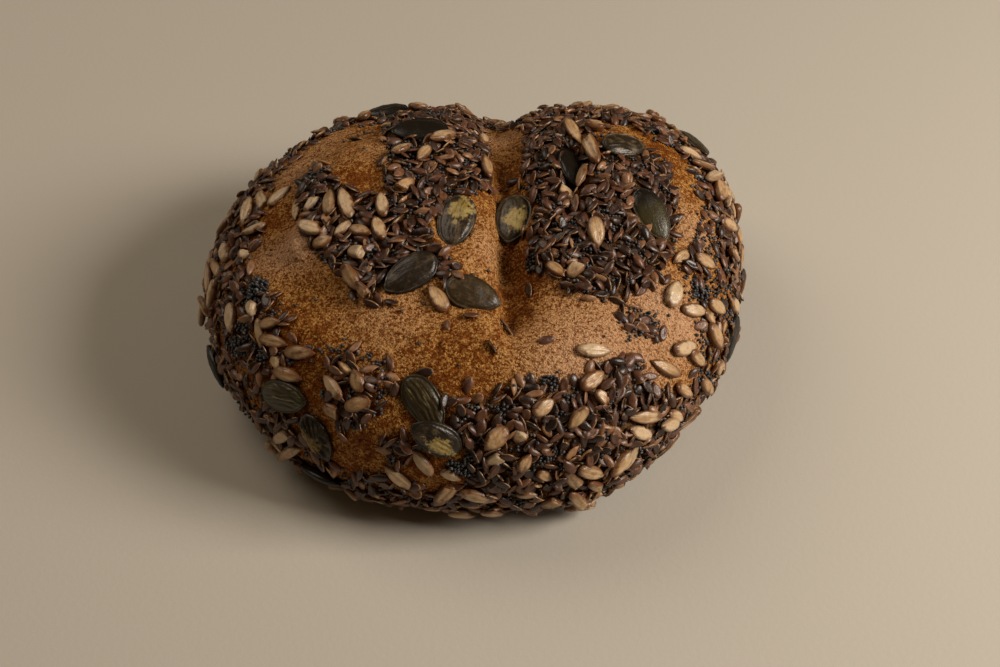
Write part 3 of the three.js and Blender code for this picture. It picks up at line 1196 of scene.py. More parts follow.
@dataclass
class Shape:
    """The mesh of one seed, lying along X with its pointed end ahead, and how near each vertex is to its
    rim."""

    places: np.ndarray
    faces: list[tuple[int, ...]]
    rim: np.ndarray

    @classmethod
    def taken_from(cls, piece: bpy.types.Object) -> "Shape":
        """Reads a modelled seed, centred by its box, and removes its object.

        Args:
            piece: The seed, with its rim attribute.

        Returns:
            Its shape.
        """
        mesh = piece.data
        places = coordinates(mesh)
        places -= (places.max(0) + places.min(0)) / 2
        rim = np.empty(len(places), np.float32)
        mesh.attributes["rim"].data.foreach_get("value", rim)
        faces = [tuple(face.vertices) for face in mesh.polygons]
        bpy.data.objects.remove(piece)
        bpy.data.meshes.remove(mesh)
        return cls(places, faces, rim)


@dataclass
class Lying:
    """One seed of a joined piece: its shape, place, scale and tone."""

    shape: Shape
    place: Matrix
    scale: Vector
    tone: float

    def spread(self) -> np.ndarray:
        """Its vertices about its own middle, at its own size."""
        return self.shape.places * np.array(self.scale)

    def lowest(self) -> float:
        """The height of its lowest vertex."""
        row = np.array(self.place)[2]
        return float((self.spread() @ row[:3]).min() + row[3])


@dataclass
class SmallSeeds:
    """One kind of small seed: the seeds laid so far, which are joined into one piece in the end."""

    name: ClassVar[str]
    finish: ClassVar[type]
    over_floor: ClassVar[float] = 0.3 * MM  # the least height of a seed's lowest vertex
    size: Vector
    seeds: list[Lying] = field(default_factory=list)

    def start(self, around: int, rings: int) -> bpy.types.Object:
        """Models what a shape starts from: a flat sphere that stores how far out each vertex is.

        Args:
            around: How many vertices go round it.
            rings: How many rings of faces it has.

        Returns:
            The object, with the attribute rim: 0 at its poles and 1 at its rim.
        """
        piece = flat_sphere(self.name, around, rings, self.size)
        places = coordinates(piece.data)
        reach = 2 * np.hypot(places[:, 0] / self.size.x, places[:, 1] / self.size.y)
        write_attribute(piece.data, "rim", reach)
        return piece

    def keep(self, seed: Lying, centre: Vector, highest: float) -> bool:
        """Keeps a seed, unless it hangs in the air or lies on the floor.

        Args:
            seed: The seed.
            centre: The place on the crust under its middle.
            highest: How far from there its middle may be.

        Returns:
            Whether it is kept.
        """
        if (seed.place.translation - centre).length > highest or seed.lowest() < self.over_floor:
            return False
        self.seeds.append(seed)
        return True

    def build(self, chance: np.random.Generator) -> bpy.types.Object:
        """Joins the seeds into one piece and dresses it.

        Args:
            chance: Where each seed's own part of the finish's pattern comes from.

        Returns:
            The piece, with the attributes tone, rim and local.
        """
        places, locals_, tones, faces = [], [], [], []
        start = 0
        for seed in self.seeds:
            own = seed.spread()
            places.append(own @ np.array(seed.place.to_3x3()).T + np.array(seed.place.translation))
            locals_.append(own + chance.uniform(-1, 1, 3))
            tones.append(np.full(len(own), seed.tone))
            faces += [tuple(start + corner for corner in face) for face in seed.shape.faces]
            start += len(own)
        mesh = bpy.data.meshes.new(self.name)
        mesh.from_pydata(np.concatenate(places), [], faces)
        write_attribute(mesh, "tone", np.concatenate(tones))
        write_attribute(mesh, "rim", np.concatenate([seed.shape.rim for seed in self.seeds]))
        write_attribute(mesh, "local", np.concatenate(locals_))
        mesh.shade_smooth()
        mesh.materials.append(self.finish().make())
        return link(self.name, mesh)


# Flax seeds that lie alone on bare crust: the column and row of each one's blunt and of its pointed end.
LONE_FLAX = (
    (432, 373, 416, 374), (470, 379, 466, 393), (512, 383, 511, 396), (531, 371, 533, 390),
    (529, 283, 533, 298), (505, 184, 521, 178), (484, 195, 498, 190), (467, 196, 452, 190),
    (376, 294, 382, 305), (386, 302, 399, 307), (438, 206, 444, 220), (441, 250, 448, 262),
    (655, 342, 652, 330), (662, 340, 664, 327), (455, 276, 463, 287), (446, 322, 451, 333),
    (443, 398, 437, 409), (640, 330, 652, 338),
)


@dataclass
class FlaxSeeds(SmallSeeds):
    """Flax: flat drops, round at one end, with a thin edge and a small hooked point at the other. Some have
    caved in while baking, so that their edges stand up. They lie thick on the seeded patches."""

    name = "flax_seeds"
    finish = FlaxFinish
    size: Vector = field(default_factory=lambda: Vector((4.4, 2.3, 1.25)) * MM)
    # For each shape: how far its point is hooked aside, in millimetres, and how deep it has caved in.
    bends: tuple = ((0.0, 0.0), (0.22, 0.0), (-0.18, 0.15), (0.1, 0.95), (-0.1, 0.6), (0.05, 0.0))
    size_spread: tuple = (0.08, 0.08, 0.12)  # of its length, width and thickness
    tilt_spread: tuple = (0.36, 0.26)  # of its roll and its pitch
    share_on_edge: float = 0.3
    edge_roll: tuple = (0.6, 1.3)
    tones: tuple = (1.7, 2.0)
    pale_share: float = 0.07
    paler: float = 0.3
    ground_each: float = 4.2 * MM * MM  # the ground that one seed gets where they lie thickest
    most: int = 2740
    pile: float = 0.9 * MM  # the height of the coat at which few more seeds stay
    sink: float = 0.22 * MM
    falls: tuple = (0.6, 0.39)  # the shares that fall before and after the kernels
    shapes: list[Shape] = field(default_factory=list)

    def model(self) -> None:
        """Models the shapes that are copied."""
        thick = self.size.z
        for hook, dish in self.bends:
            piece = self.start(12, 6)
            select_vertices(piece, coordinates(piece.data)[:, 2] < -0.1 * thick)
            bpy.ops.mesh.merge(type="CENTER")  # the hidden back becomes a shallow cone of few faces
            leave_edit_mode()
            places = coordinates(piece.data)
            ahead = places[:, 0] / (self.size.x / 2)
            reach = np.hypot(ahead, places[:, 1] / (self.size.y / 2))
            above = places[:, 2] > 0.05 * thick
            shift_vertices(piece, above & (reach > 0.7), (0, 0, -0.04 * thick))
            shift_vertices(piece, above & (reach < 0.6), (0, 0, -0.3 * dish * thick))
            shift_vertices(piece, above & (reach < 0.2), (0, 0, -0.2 * dish * thick))
            resize_vertices(piece, ahead < -0.8, (1, 1.14, 1))
            resize_vertices(piece, ahead > 0.4, (1, 0.88, 0.95))
            resize_vertices(piece, ahead > 0.8, (1, 0.8, 0.9))
            shift_vertices(piece, ahead > 0.97, (0.3 * MM, hook * MM, 0))
            self.shapes.append(Shape.taken_from(piece))

    def lay_lone(self, coat: Coat, chance: np.random.Generator) -> None:
        """Lays the seeds that lie alone.

        Args:
            coat: What they lie on.
            chance: Where tilts and sizes come from.
        """
        for row in LONE_FLAX:
            start, end = coat.bread.place(row[:2]), coat.bread.place(row[2:])
            centre = coat.bread.surface.find_nearest((start + end) / 2)[0]
            self._lay(coat, chance, coat.tree.find(centre)[1], end - start)

    def scatter(self, coat: Coat, chance: np.random.Generator, share: float) -> None:
        """Lets a share of the seeds fall on the coat.

        Args:
            coat: What they fall on, which grows by them.
            chance: Where places, turns and sizes come from.
            share: The share of all the seeds.
        """
        weight = coat.flax * np.where(coat.taken, 0, 1)
        ground = coat.bread.voxel ** 2 * 1.08
        wanted = min(int(weight.sum() * ground / self.ground_each * share), int(self.most * share))
        reach = np.cumsum(weight)
        laid = 0
        while laid < wanted:
            index = pick(reach, chance)
            pile = coat.height[index] / self.pile
            if coat.taken[index] or chance.uniform() > math.exp(-pile * pile):
                continue
            self._lay(coat, chance, index)
            laid += 1

    def _lay(self, coat: Coat, chance: np.random.Generator, index: int, ahead: Vector | None = None) -> None:
        """Lays one seed.

        Args:
            coat: What it lies on, which grows by it.
            chance: Where its turn, tilt, size and tone come from.
            index: The vertex of the crust under its middle.
            ahead: The way its pointed end goes. Without it, that is left to chance too.
        """
        scale = Vector(chance.normal(1, spread) for spread in self.size_spread)
        size = Vector(a * b for a, b in zip(self.size, scale))
        centre = Vector(coat.places[index])
        roll, pitch = (chance.normal(0, spread) for spread in self.tilt_spread)
        if ahead is None:
            ahead = Vector(chance.normal(0, 1, 3))
            if chance.uniform() < self.share_on_edge:
                roll = chance.choice((-1, 1)) * chance.uniform(*self.edge_roll)
        turn = Quaternion((1, 0, 0), roll) @ Quaternion((0, 1, 0), pitch)
        place = coat.bed(centre, ahead, size, self.sink, turn)
        tone = chance.beta(*self.tones) + (self.paler if chance.uniform() < self.pale_share else 0)
        shape = self.shapes[int(chance.integers(len(self.shapes)))]
        seed = Lying(shape, place, scale, float(np.clip(tone, 0, 1)))
        if self.keep(seed, centre, coat.height[index] + self.size.z * 1.4):
            coat.cover(place, size)


class Fit(Enum):
    """How a kernel came through the baking."""

    WHOLE = "whole"
    SLIM = "slim"
    BENT = "bent"
    BROKEN = "broken"
    CHIP = "chip"


WHOLE, SLIM, BENT, BROKEN, CHIP = Fit


@dataclass(frozen=True)
class Kernel:
    """A sunflower kernel that the photograph shows: the pixels of its blunt and its pointed end, its width in
    millimetres, how it came through the baking, and how pale it is, 0 to 1."""

    blunt: Pixel
    point: Pixel
    width: float = 4.0
    fit: Fit = WHOLE
    tone: float = 0.6


# Each row: column and row of the blunt end, column and row of the point, then the rest as in Kernel.
KERNELS = tuple(Kernel(row[:2], row[2:4], *row[4:]) for row in (
    # behind and on top of the left lobe
    (364, 124, 361, 105, 3.7), (403, 104, 420, 103, 3.0, SLIM), (408, 114, 428, 111, 3.5),
    (394, 162, 413, 149, 3.5), (430, 149, 417, 166, 3.2), (453, 141, 428, 151, 4.3),
    (412, 182, 394, 197, 3.5, BROKEN, 0.3), (486, 182, 478, 160, 3.2, WHOLE, 0.1),
    # down the left side
    (241, 190, 262, 163, 3.2, SLIM), (274, 176, 257, 183, 3.2, WHOLE, 0.8),
    (269, 208, 292, 186, 3.3, SLIM, 0.85), (256, 197, 244, 234, 3.6, SLIM, 0.8),
    (262, 196, 265, 209, 3.5, BROKEN, 0.8), (219, 239, 238, 215, 3.3, SLIM, 0.7),
    (267, 225, 244, 243, 3.3, SLIM, 0.85), (234, 271, 224, 238, 4.3, WHOLE, 0.7),
    (240, 263, 247, 252, 3.2, CHIP, 0.8), (207, 300, 213, 258, 3.3, SLIM, 0.7),
    (213, 263, 220, 274, 3.2, CHIP, 0.4), (222, 280, 215, 311, 3.9, WHOLE, 0.75),
    (203, 292, 197, 318, 3.7, WHOLE, 0.7), (233, 304, 236, 336, 3.6, SLIM, 0.85),
    (252, 305, 261, 313, 3.5, CHIP, 0.9), (258, 318, 262, 350, 2.6, BENT, 0.7),
    (260, 325, 285, 322, 3.2, SLIM, 0.3), (261, 338, 289, 345, 3.5, WHOLE, 0.35),
    (286, 352, 318, 353, 3.7, WHOLE, 0.3), (272, 358, 283, 365, 3.3, CHIP, 0.7),
    (275, 370, 304, 380, 3.7, WHOLE, 0.2), (225, 384, 243, 400, 3.2, BENT),
    # the cluster left of the middle
    (347, 399, 325, 374, 3.5, WHOLE, 0.8), (350, 380, 336, 366, 2.6, SLIM, 0.5),
    (364, 393, 357, 368, 3.9, WHOLE, 0.15), (348, 407, 376, 400, 3.7, WHOLE, 0.4),
    (325, 404, 343, 414, 3.7, BROKEN, 0.2),
    # the lower left edge
    (275, 440, 296, 427, 3.3, BROKEN, 0.95), (256, 424, 272, 437, 3.0, BENT, 0.7),
    (268, 442, 285, 460, 3.0, BENT, 0.7), (281, 450, 300, 446, 3.3, BROKEN, 0.6),
    # the front
    (434, 473, 412, 447, 3.5, WHOLE, 0.75), (412, 487, 384, 464, 3.5, WHOLE, 0.7),
    (441, 468, 462, 480, 3.2, SLIM, 0.8), (436, 498, 454, 483, 3.9, BROKEN, 0.2),
    (459, 487, 497, 496, 3.9, WHOLE, 0.6), (447, 508, 477, 515, 3.5, WHOLE, 0.7),
    (460, 503, 484, 504, 3.2, SLIM, 0.4), (480, 505, 505, 514, 3.5, WHOLE, 0.7),
    (506, 426, 484, 448, 4.8, WHOLE, 0.5), (488, 461, 501, 455, 3.2, BROKEN, 0.95),
    (515, 440, 528, 432, 3.2, CHIP, 0.9), (529, 412, 553, 399, 4.1, WHOLE, 0.6),
    (584, 402, 566, 426, 3.5, WHOLE, 0.45), (575, 351, 612, 352, 3.9, WHOLE, 0.8),
    (577, 388, 604, 371, 4.3, WHOLE, 0.4), (590, 393, 602, 402, 3.2, CHIP, 0.6),
    (574, 462, 602, 473, 3.9, WHOLE, 0.6), (565, 466, 580, 482, 3.7, BROKEN, 0.5),
    (567, 486, 583, 498, 3.5, BROKEN, 0.5), (590, 492, 600, 488, 3.0, CHIP, 0.6),
    (518, 468, 530, 450, 3.4, SLIM, 0.4), (343, 492, 363, 495, 4.6, BROKEN, 0.6),
    (369, 490, 381, 492, 3.6, CHIP, 0.5), (518, 491, 536, 488, 3.0, SLIM, 0.6),
    (541, 502, 560, 494, 3.4, BROKEN, 0.3), (424, 500, 441, 508, 3.4, BROKEN, 0.3),
    (586, 476, 600, 486, 3.2, CHIP, 0.3), (536, 470, 552, 478, 3.0, SLIM, 0.2),
    # the right side
    (676, 376, 648, 360, 3.5, WHOLE, 0.3), (669, 351, 697, 345, 4.1, WHOLE, 0.8),
    (706, 323, 715, 350, 4.5, WHOLE, 0.3), (668, 308, 678, 281, 4.7, WHOLE, 0.9),
    (680, 309, 705, 313, 3.7, WHOLE, 0.7), (699, 313, 713, 321, 3.2, CHIP, 0.5),
    (707, 300, 722, 313, 3.7, WHOLE, 0.6), (727, 300, 742, 312, 3.9, WHOLE, 0.7),
    (717, 318, 723, 334, 3.2, SLIM, 0.4), (716, 361, 730, 374, 4.1, BROKEN, 0.6),
    (670, 384, 690, 396, 3.7, WHOLE, 0.4), (699, 378, 720, 400, 3.5, WHOLE, 0.3),
    (686, 350, 702, 365, 3.3, WHOLE, 0.4), (656, 413, 625, 417, 3.5, WHOLE, 0.6),
    (674, 420, 644, 423, 3.7, WHOLE, 0.85), (650, 436, 617, 425, 3.5, WHOLE, 0.9),
    (660, 410, 678, 418, 3.2, SLIM, 0.6), (620, 468, 637, 442, 3.2, BENT, 0.95),
    (693, 412, 702, 425, 2.8, SLIM), (689, 437, 696, 432, 3.0, CHIP),
    # the right lobe and the rim behind it
    (584, 131, 601, 131, 4.3, BROKEN, 0.5), (560, 128, 588, 152, 3.5, BENT, 0.5),
    (600, 170, 589, 144, 4.1, BROKEN, 0.35), (592, 221, 597, 250, 4.6, WHOLE, 0.6),
    (576, 201, 558, 187, 3.3, BROKEN, 0.7), (568, 278, 583, 264, 3.9, BROKEN, 0.6),
    (547, 266, 565, 281, 3.5, WHOLE, 0.15), (718, 206, 711, 181, 4.8, WHOLE, 0.3),
    (676, 151, 699, 162, 3.2, SLIM, 0.8), (601, 112, 604, 104, 3.2, BROKEN, 0.8),
    (606, 108, 620, 112, 3.3, BROKEN, 0.6), (704, 217, 733, 239, 3.7, WHOLE, 0.5),
    (688, 253, 672, 264, 3.3, WHOLE, 0.5), (690, 254, 714, 268, 3.5, WHOLE, 0.5),
    (717, 253, 737, 265, 3.5, WHOLE, 0.6), (738, 225, 747, 250, 3.2, WHOLE, 0.5),
    (726, 183, 735, 200, 3.3, WHOLE, 0.5), (735, 200, 741, 220, 3.3, WHOLE, 0.5),
    (690, 166, 708, 173, 3.4, BROKEN, 0.5), (700, 189, 722, 184, 3.6, BROKEN, 0.8),
    (706, 199, 724, 201, 3.4, BROKEN, 0.85), (478, 149, 484, 136, 3.4, SLIM, 0.5),
    # on the left lobe
    (297, 199, 296, 222, 2.8, SLIM, 0.7), (306, 213, 317, 197, 3.2, BROKEN, 0.8),
    (332, 219, 331, 189, 4.0, WHOLE, 0.6), (351, 220, 342, 192, 4.1, WHOLE, 0.65),
    (384, 220, 381, 196, 3.4, WHOLE, 0.7), (300, 228, 326, 237, 3.9, WHOLE, 0.7),
    (352, 225, 335, 239, 3.0, WHOLE, 0.7), (350, 230, 374, 239, 3.6, WHOLE, 0.25),
    (383, 244, 374, 219, 3.6, WHOLE, 0.65), (317, 248, 338, 241, 3.3, WHOLE, 0.4),
    (352, 252, 367, 260, 3.9, BROKEN, 0.9), (350, 264, 361, 292, 4.0, WHOLE, 0.4),
    (364, 282, 374, 294, 3.2, BROKEN, 0.2), (447, 312, 428, 286, 4.5, WHOLE, 0.45),
))


@dataclass
class SunflowerKernels(SmallSeeds):
    """Hulled sunflower kernels: drops that taper to a point, each one laid where the photograph shows it, and
    more like them on the sides that it hides."""

    name = "sunflower_kernels"
    finish = SunflowerFinish
    size: Vector = field(default_factory=lambda: Vector((9.0, 4.2, 2.5)) * MM)
    # The taper in steps: where each one starts, as a share of the half length, and how much narrower it gets.
    tapers: tuple = ((0.2, 0.94), (0.45, 0.9), (0.65, 0.86), (0.85, 0.76))
    longest: float = 10.6 * MM
    shortest: float = 5.4 * MM
    shortest_chip: float = 2.6 * MM
    sink: float = 0.65 * MM
    kept_clear: float = 1.2
    thickness: tuple = (0.54, 0.66)  # as a share of its width
    tilt_spread: tuple = (0.1, 0.06)  # of its roll and its pitch
    hidden: int = 150
    hidden_whole: float = 0.7  # the share of the hidden ones that came through whole
    hidden_lengths: tuple = (7.4, 9.8)  # millimetres
    hidden_widths: tuple = (3.2, 4.8)  # millimetres
    hidden_tones: tuple = (0.15, 0.95)
    shapes: dict[Fit, Shape] = field(default_factory=dict)

    def model(self) -> None:
        """Models one shape for each way that a kernel comes through the baking."""
        for fit in Fit:
            piece = self.start(24, 10)
            places = coordinates(piece.data)
            ahead = places[:, 0] / (self.size.x / 2)
            for beyond, narrowing in self.tapers:
                resize_vertices(piece, ahead > beyond, (1, narrowing, narrowing**0.6))
            shift_vertices(piece, ahead > 0.97, (0.3 * MM, 0, 0))
            resize_vertices(piece, ahead < -0.6, (1, 1.1, 1.05))
            resize_vertices(piece, places[:, 2] > 0.36 * self.size.z, (1, 1.1, 0.86))
            furrow = (np.abs(places[:, 1]) < 0.12 * self.size.y) & (places[:, 2] > 0) & (np.abs(ahead) < 0.75)
            shift_vertices(piece, furrow, (0, 0, -0.07 * self.size.z))
            if fit is SLIM:
                shift_vertices(piece, np.abs(ahead) < 0.5, (0, 0.12 * MM, 0))
            if fit is BENT:
                apply_modifier(piece, "SIMPLE_DEFORM", deform_method="BEND", deform_axis="Y", angle=0.45)
            if fit in (BROKEN, CHIP):
                self._break(piece, 0.3 if fit is BROKEN else 0.05)
            self.shapes[fit] = Shape.taken_from(piece)

    def _break(self, piece: bpy.types.Object, where: float) -> None:
        """Breaks the point off at a slant.

        Args:
            piece: The kernel.
            where: The break's place, as a share of the half length.
        """
        select_vertices(piece, np.ones(len(piece.data.vertices), bool))
        at = (where * self.size.x / 2, 0, 0)
        bpy.ops.mesh.bisect(plane_co=at, plane_no=(0.9, 0.35, 0.3), use_fill=True, clear_outer=True)
        leave_edit_mode()

    def lay_shown(self, coat: Coat, chance: np.random.Generator) -> None:
        """Lays the kernels that the photograph shows.

        Args:
            coat: What they lie on, which grows by them.
            chance: Where their own tilts come from.
        """
        for kernel in KERNELS:
            blunt, point = coat.bread.place(kernel.blunt), coat.bread.place(kernel.point)
            centre = coat.bread.surface.find_nearest((blunt + point) / 2)[0]
            length = (point - blunt).length
            if kernel.fit is CHIP:
                length = max(length, self.shortest_chip)
            else:
                length = min(max(length, self.shortest), self.longest)
            size = Vector((length, kernel.width * MM, 0))
            self._lay(coat, chance, centre, point - blunt, size, kernel.fit, kernel.tone)

    def scatter_hidden(self, coat: Coat, chance: np.random.Generator) -> None:
        """Lets more kernels fall on the sides that the photograph doesn't show.

        Args:
            coat: What they fall on, which grows by them.
            chance: Where places, turns, sizes and tones come from.
        """
        reach = np.cumsum(coat.flax * (coat.facing < 0.02))
        laid = 0
        while laid < self.hidden:
            index = pick(reach, chance)
            if coat.taken[index]:
                continue
            fit = WHOLE if chance.uniform() < self.hidden_whole else (SLIM, BENT, BROKEN)[chance.integers(3)]
            length, width = chance.uniform(*self.hidden_lengths), chance.uniform(*self.hidden_widths)
            size = Vector((length * MM, width * MM, 0))
            ahead = Vector(chance.uniform(-1, 1, 3))
            tone = float(chance.uniform(*self.hidden_tones))
            self._lay(coat, chance, Vector(coat.places[index]), ahead, size, fit, tone)
            laid += 1

    def _lay(
        self,
        coat: Coat,
        chance: np.random.Generator,
        centre: Vector,
        ahead: Vector,
        size: Vector,
        fit: Fit,
        tone: float,
    ) -> None:
        """Lays one kernel.

        Args:
            coat: What it lies on, which grows by it.
            chance: Where its own tilt comes from.
            centre: The place on the crust under its middle.
            ahead: The way its pointed end goes.
            size: Its length and width. Its thickness follows from its width.
            fit: How it came through the baking.
            tone: How pale it is, 0 to 1.
        """
        size.z = size.y * chance.uniform(*self.thickness)
        shape = self.shapes[fit]
        scale = Vector(want / has for want, has in zip(size, np.ptp(shape.places, 0)))
        roll, pitch = (chance.normal(0, spread) for spread in self.tilt_spread)
        turn = Quaternion((1, 0, 0), roll) @ Quaternion((0, 1, 0), pitch)
        place = coat.bed(centre, ahead, size, self.sink, turn)
        if self.keep(Lying(shape, place, scale, tone), centre, coat.highest_pile + size.z / 2):
            coat.cover(place, size, takes=self.kept_clear)


@dataclass
class PoppySeeds(SmallSeeds):
    """Poppy: kidney-shaped specks in the gaps between the larger seeds, and in nests of their own."""

    name = "poppy_seeds"
    finish = PoppyFinish
    size: Vector = field(default_factory=lambda: Vector((1.0, 0.86, 0.8)) * MM)
    dent: float = 0.14 * MM
    number: int = 5400
    sought: float = 0.8 * MM  # the height of the coat past which few seeds come to lie
    pile: float = 0.75 * MM  # the height of the coat at which few more seeds stay
    reach: float = 0.62 * MM  # how far round itself a seed raises the coat
    lowest_middle: float = 0.9 * MM
    size_spread: float = 0.09
    shape_spread: float = 0.06
    tones: tuple = (1.6, 2.0)
    middle_over: float = 0.3  # from what it lies on to its middle, as a share of its thickness
    adds: float = 0.75  # what it adds to the coat, as a share of its thickness
    shape: Shape = field(init=False)

    def model(self) -> None:
        """Models the shape that is copied."""
        piece = self.start(6, 4)
        places = coordinates(piece.data)
        side = (np.abs(places[:, 0]) < 0.1 * self.size.x) & (places[:, 1] > 0.3 * self.size.y)
        shift_vertices(piece, side, (0, -self.dent, 0))
        self.shape = Shape.taken_from(piece)

    def scatter(self, coat: Coat, chance: np.random.Generator) -> None:
        """Lets the seeds fall, so that they end up in the gaps.

        Args:
            coat: What they fall on, which grows by them.
            chance: Where places, turns and sizes come from.
        """
        weight = coat.poppy * np.where(coat.taken, 0, 1) * bell(coat.height, self.sought)
        reach = np.cumsum(weight)
        for _ in range(4 * self.number):
            if len(self.seeds) >= self.number:
                break
            index = pick(reach, chance)
            pile = coat.height[index] / self.pile
            if chance.uniform() <= math.exp(-pile * pile):
                self._lay(coat, chance, index)

    def _lay(self, coat: Coat, chance: np.random.Generator, index: int) -> None:
        """Lays one seed.

        Args:
            coat: What it lies on, which grows by it.
            chance: Where its turn, size and tone come from.
            index: The vertex of the crust under it.
        """
        grown = chance.normal(1, self.size_spread)
        wider, thicker = (chance.normal(1, self.shape_spread) for _ in range(2))
        scale = Vector((grown, grown * wider, grown * thicker))
        centre, normal = Vector(coat.places[index]), Vector(coat.normals[index])
        axis = Vector(chance.normal(0, 1, 3)).normalized()
        place = Quaternion(axis, chance.uniform(0, math.tau)).to_matrix().to_4x4()
        top = coat.height[index]
        place.translation = centre + normal * (top + self.size.z * grown * self.middle_over)
        if place.translation.z < self.lowest_middle:
            return
        self.seeds.append(Lying(self.shape, place, scale, float(chance.beta(*self.tones))))
        near = coat.near(centre, self.reach)
        coat.height[near] = np.maximum(coat.height[near], top + self.size.z * self.adds)


# ---- Pumpkin seeds ----


@dataclass(frozen=True)
class PumpkinLook:
    """How one pumpkin seed looks: how dark, how dusty, how much of its skin is off and where, how scratched it
    is, how deep its lengthwise ribs are, the share of it that small seeds leave clear, how much darker its
    blunt end is painted as painted shade, and how green it is."""

    darkness: float = 0.5
    bloom: float = 0.3
    peeled: float = 0.0
    peeled_at: tuple[float, float] = (0.3, 0.0)
    scratched: float = 0.15
    ribs: float = 0.3
    clear: float = 1.12
    shaded_blunt_end: float = 0.0
    green: float = 0.5


# The seeds whose look differs from the usual, by the number in their node's name.
PUMPKIN_LOOKS = {
    1: PumpkinLook(0.75, 1.0, 0.95, (-0.42, 0.15), 0.2, 0.2, green=0.1),
    2: PumpkinLook(0.8, 0.6, 0.0, (0, 0), 0.3, 0.1, green=0.0),
    3: PumpkinLook(0.45, 0.7, 0.0, (0, 0), 0.0, 0.1, green=0.4),
    4: PumpkinLook(1.1, 0.05, 0.0, (0, 0), 0.0, 0.1, green=0.0),
    5: PumpkinLook(1.0, 0.2),
    6: PumpkinLook(0.6, 0.8, 0.95, (0.1, 0.2), 0.5, 0.2),
    # Seed 7's blunt end is darkened: painted shade.
    7: PumpkinLook(0.3, 0.3, 0.0, (0, 0), 0.0, 0.05, shaded_blunt_end=0.8, green=0.8),
    8: PumpkinLook(0.75, 0.9, 0.0, (0, 0), 0.4, 0.3),
    # Seed 9 lies in the torn hollow: its darkness is partly painted shade.
    9: PumpkinLook(1.2, 0.0, 0.0, (0, 0), 0.0, 0.3, clear=0.35),
    10: PumpkinLook(0.5, 0.2),
    11: PumpkinLook(0.5, 0.4, 0.0, (0, 0), 1.3, 0.5, green=0.6),
    12: PumpkinLook(0.85, 0.6, 0.9, (-0.25, 0.2), 0.2, 0.3),
    13: PumpkinLook(0.3, 0.4, 0.0, (0, 0), 1.8, 0.5, green=0.9),
    14: PumpkinLook(0.75, 0.7, 1.05, (0.05, -0.4), 1.4, 2.6, green=0.3),
    15: PumpkinLook(1.0, 0.2, 0.0, (0, 0), 0.1, 0.4),
    16: PumpkinLook(1.0, 0.1, 0.0, (0, 0), 0.1, 0.4),
    17: PumpkinLook(1.3, 0.0),
    20: PumpkinLook(0.5, 0.5, 0.7, (0.1, 0.1), 0.4, 0.4),
}


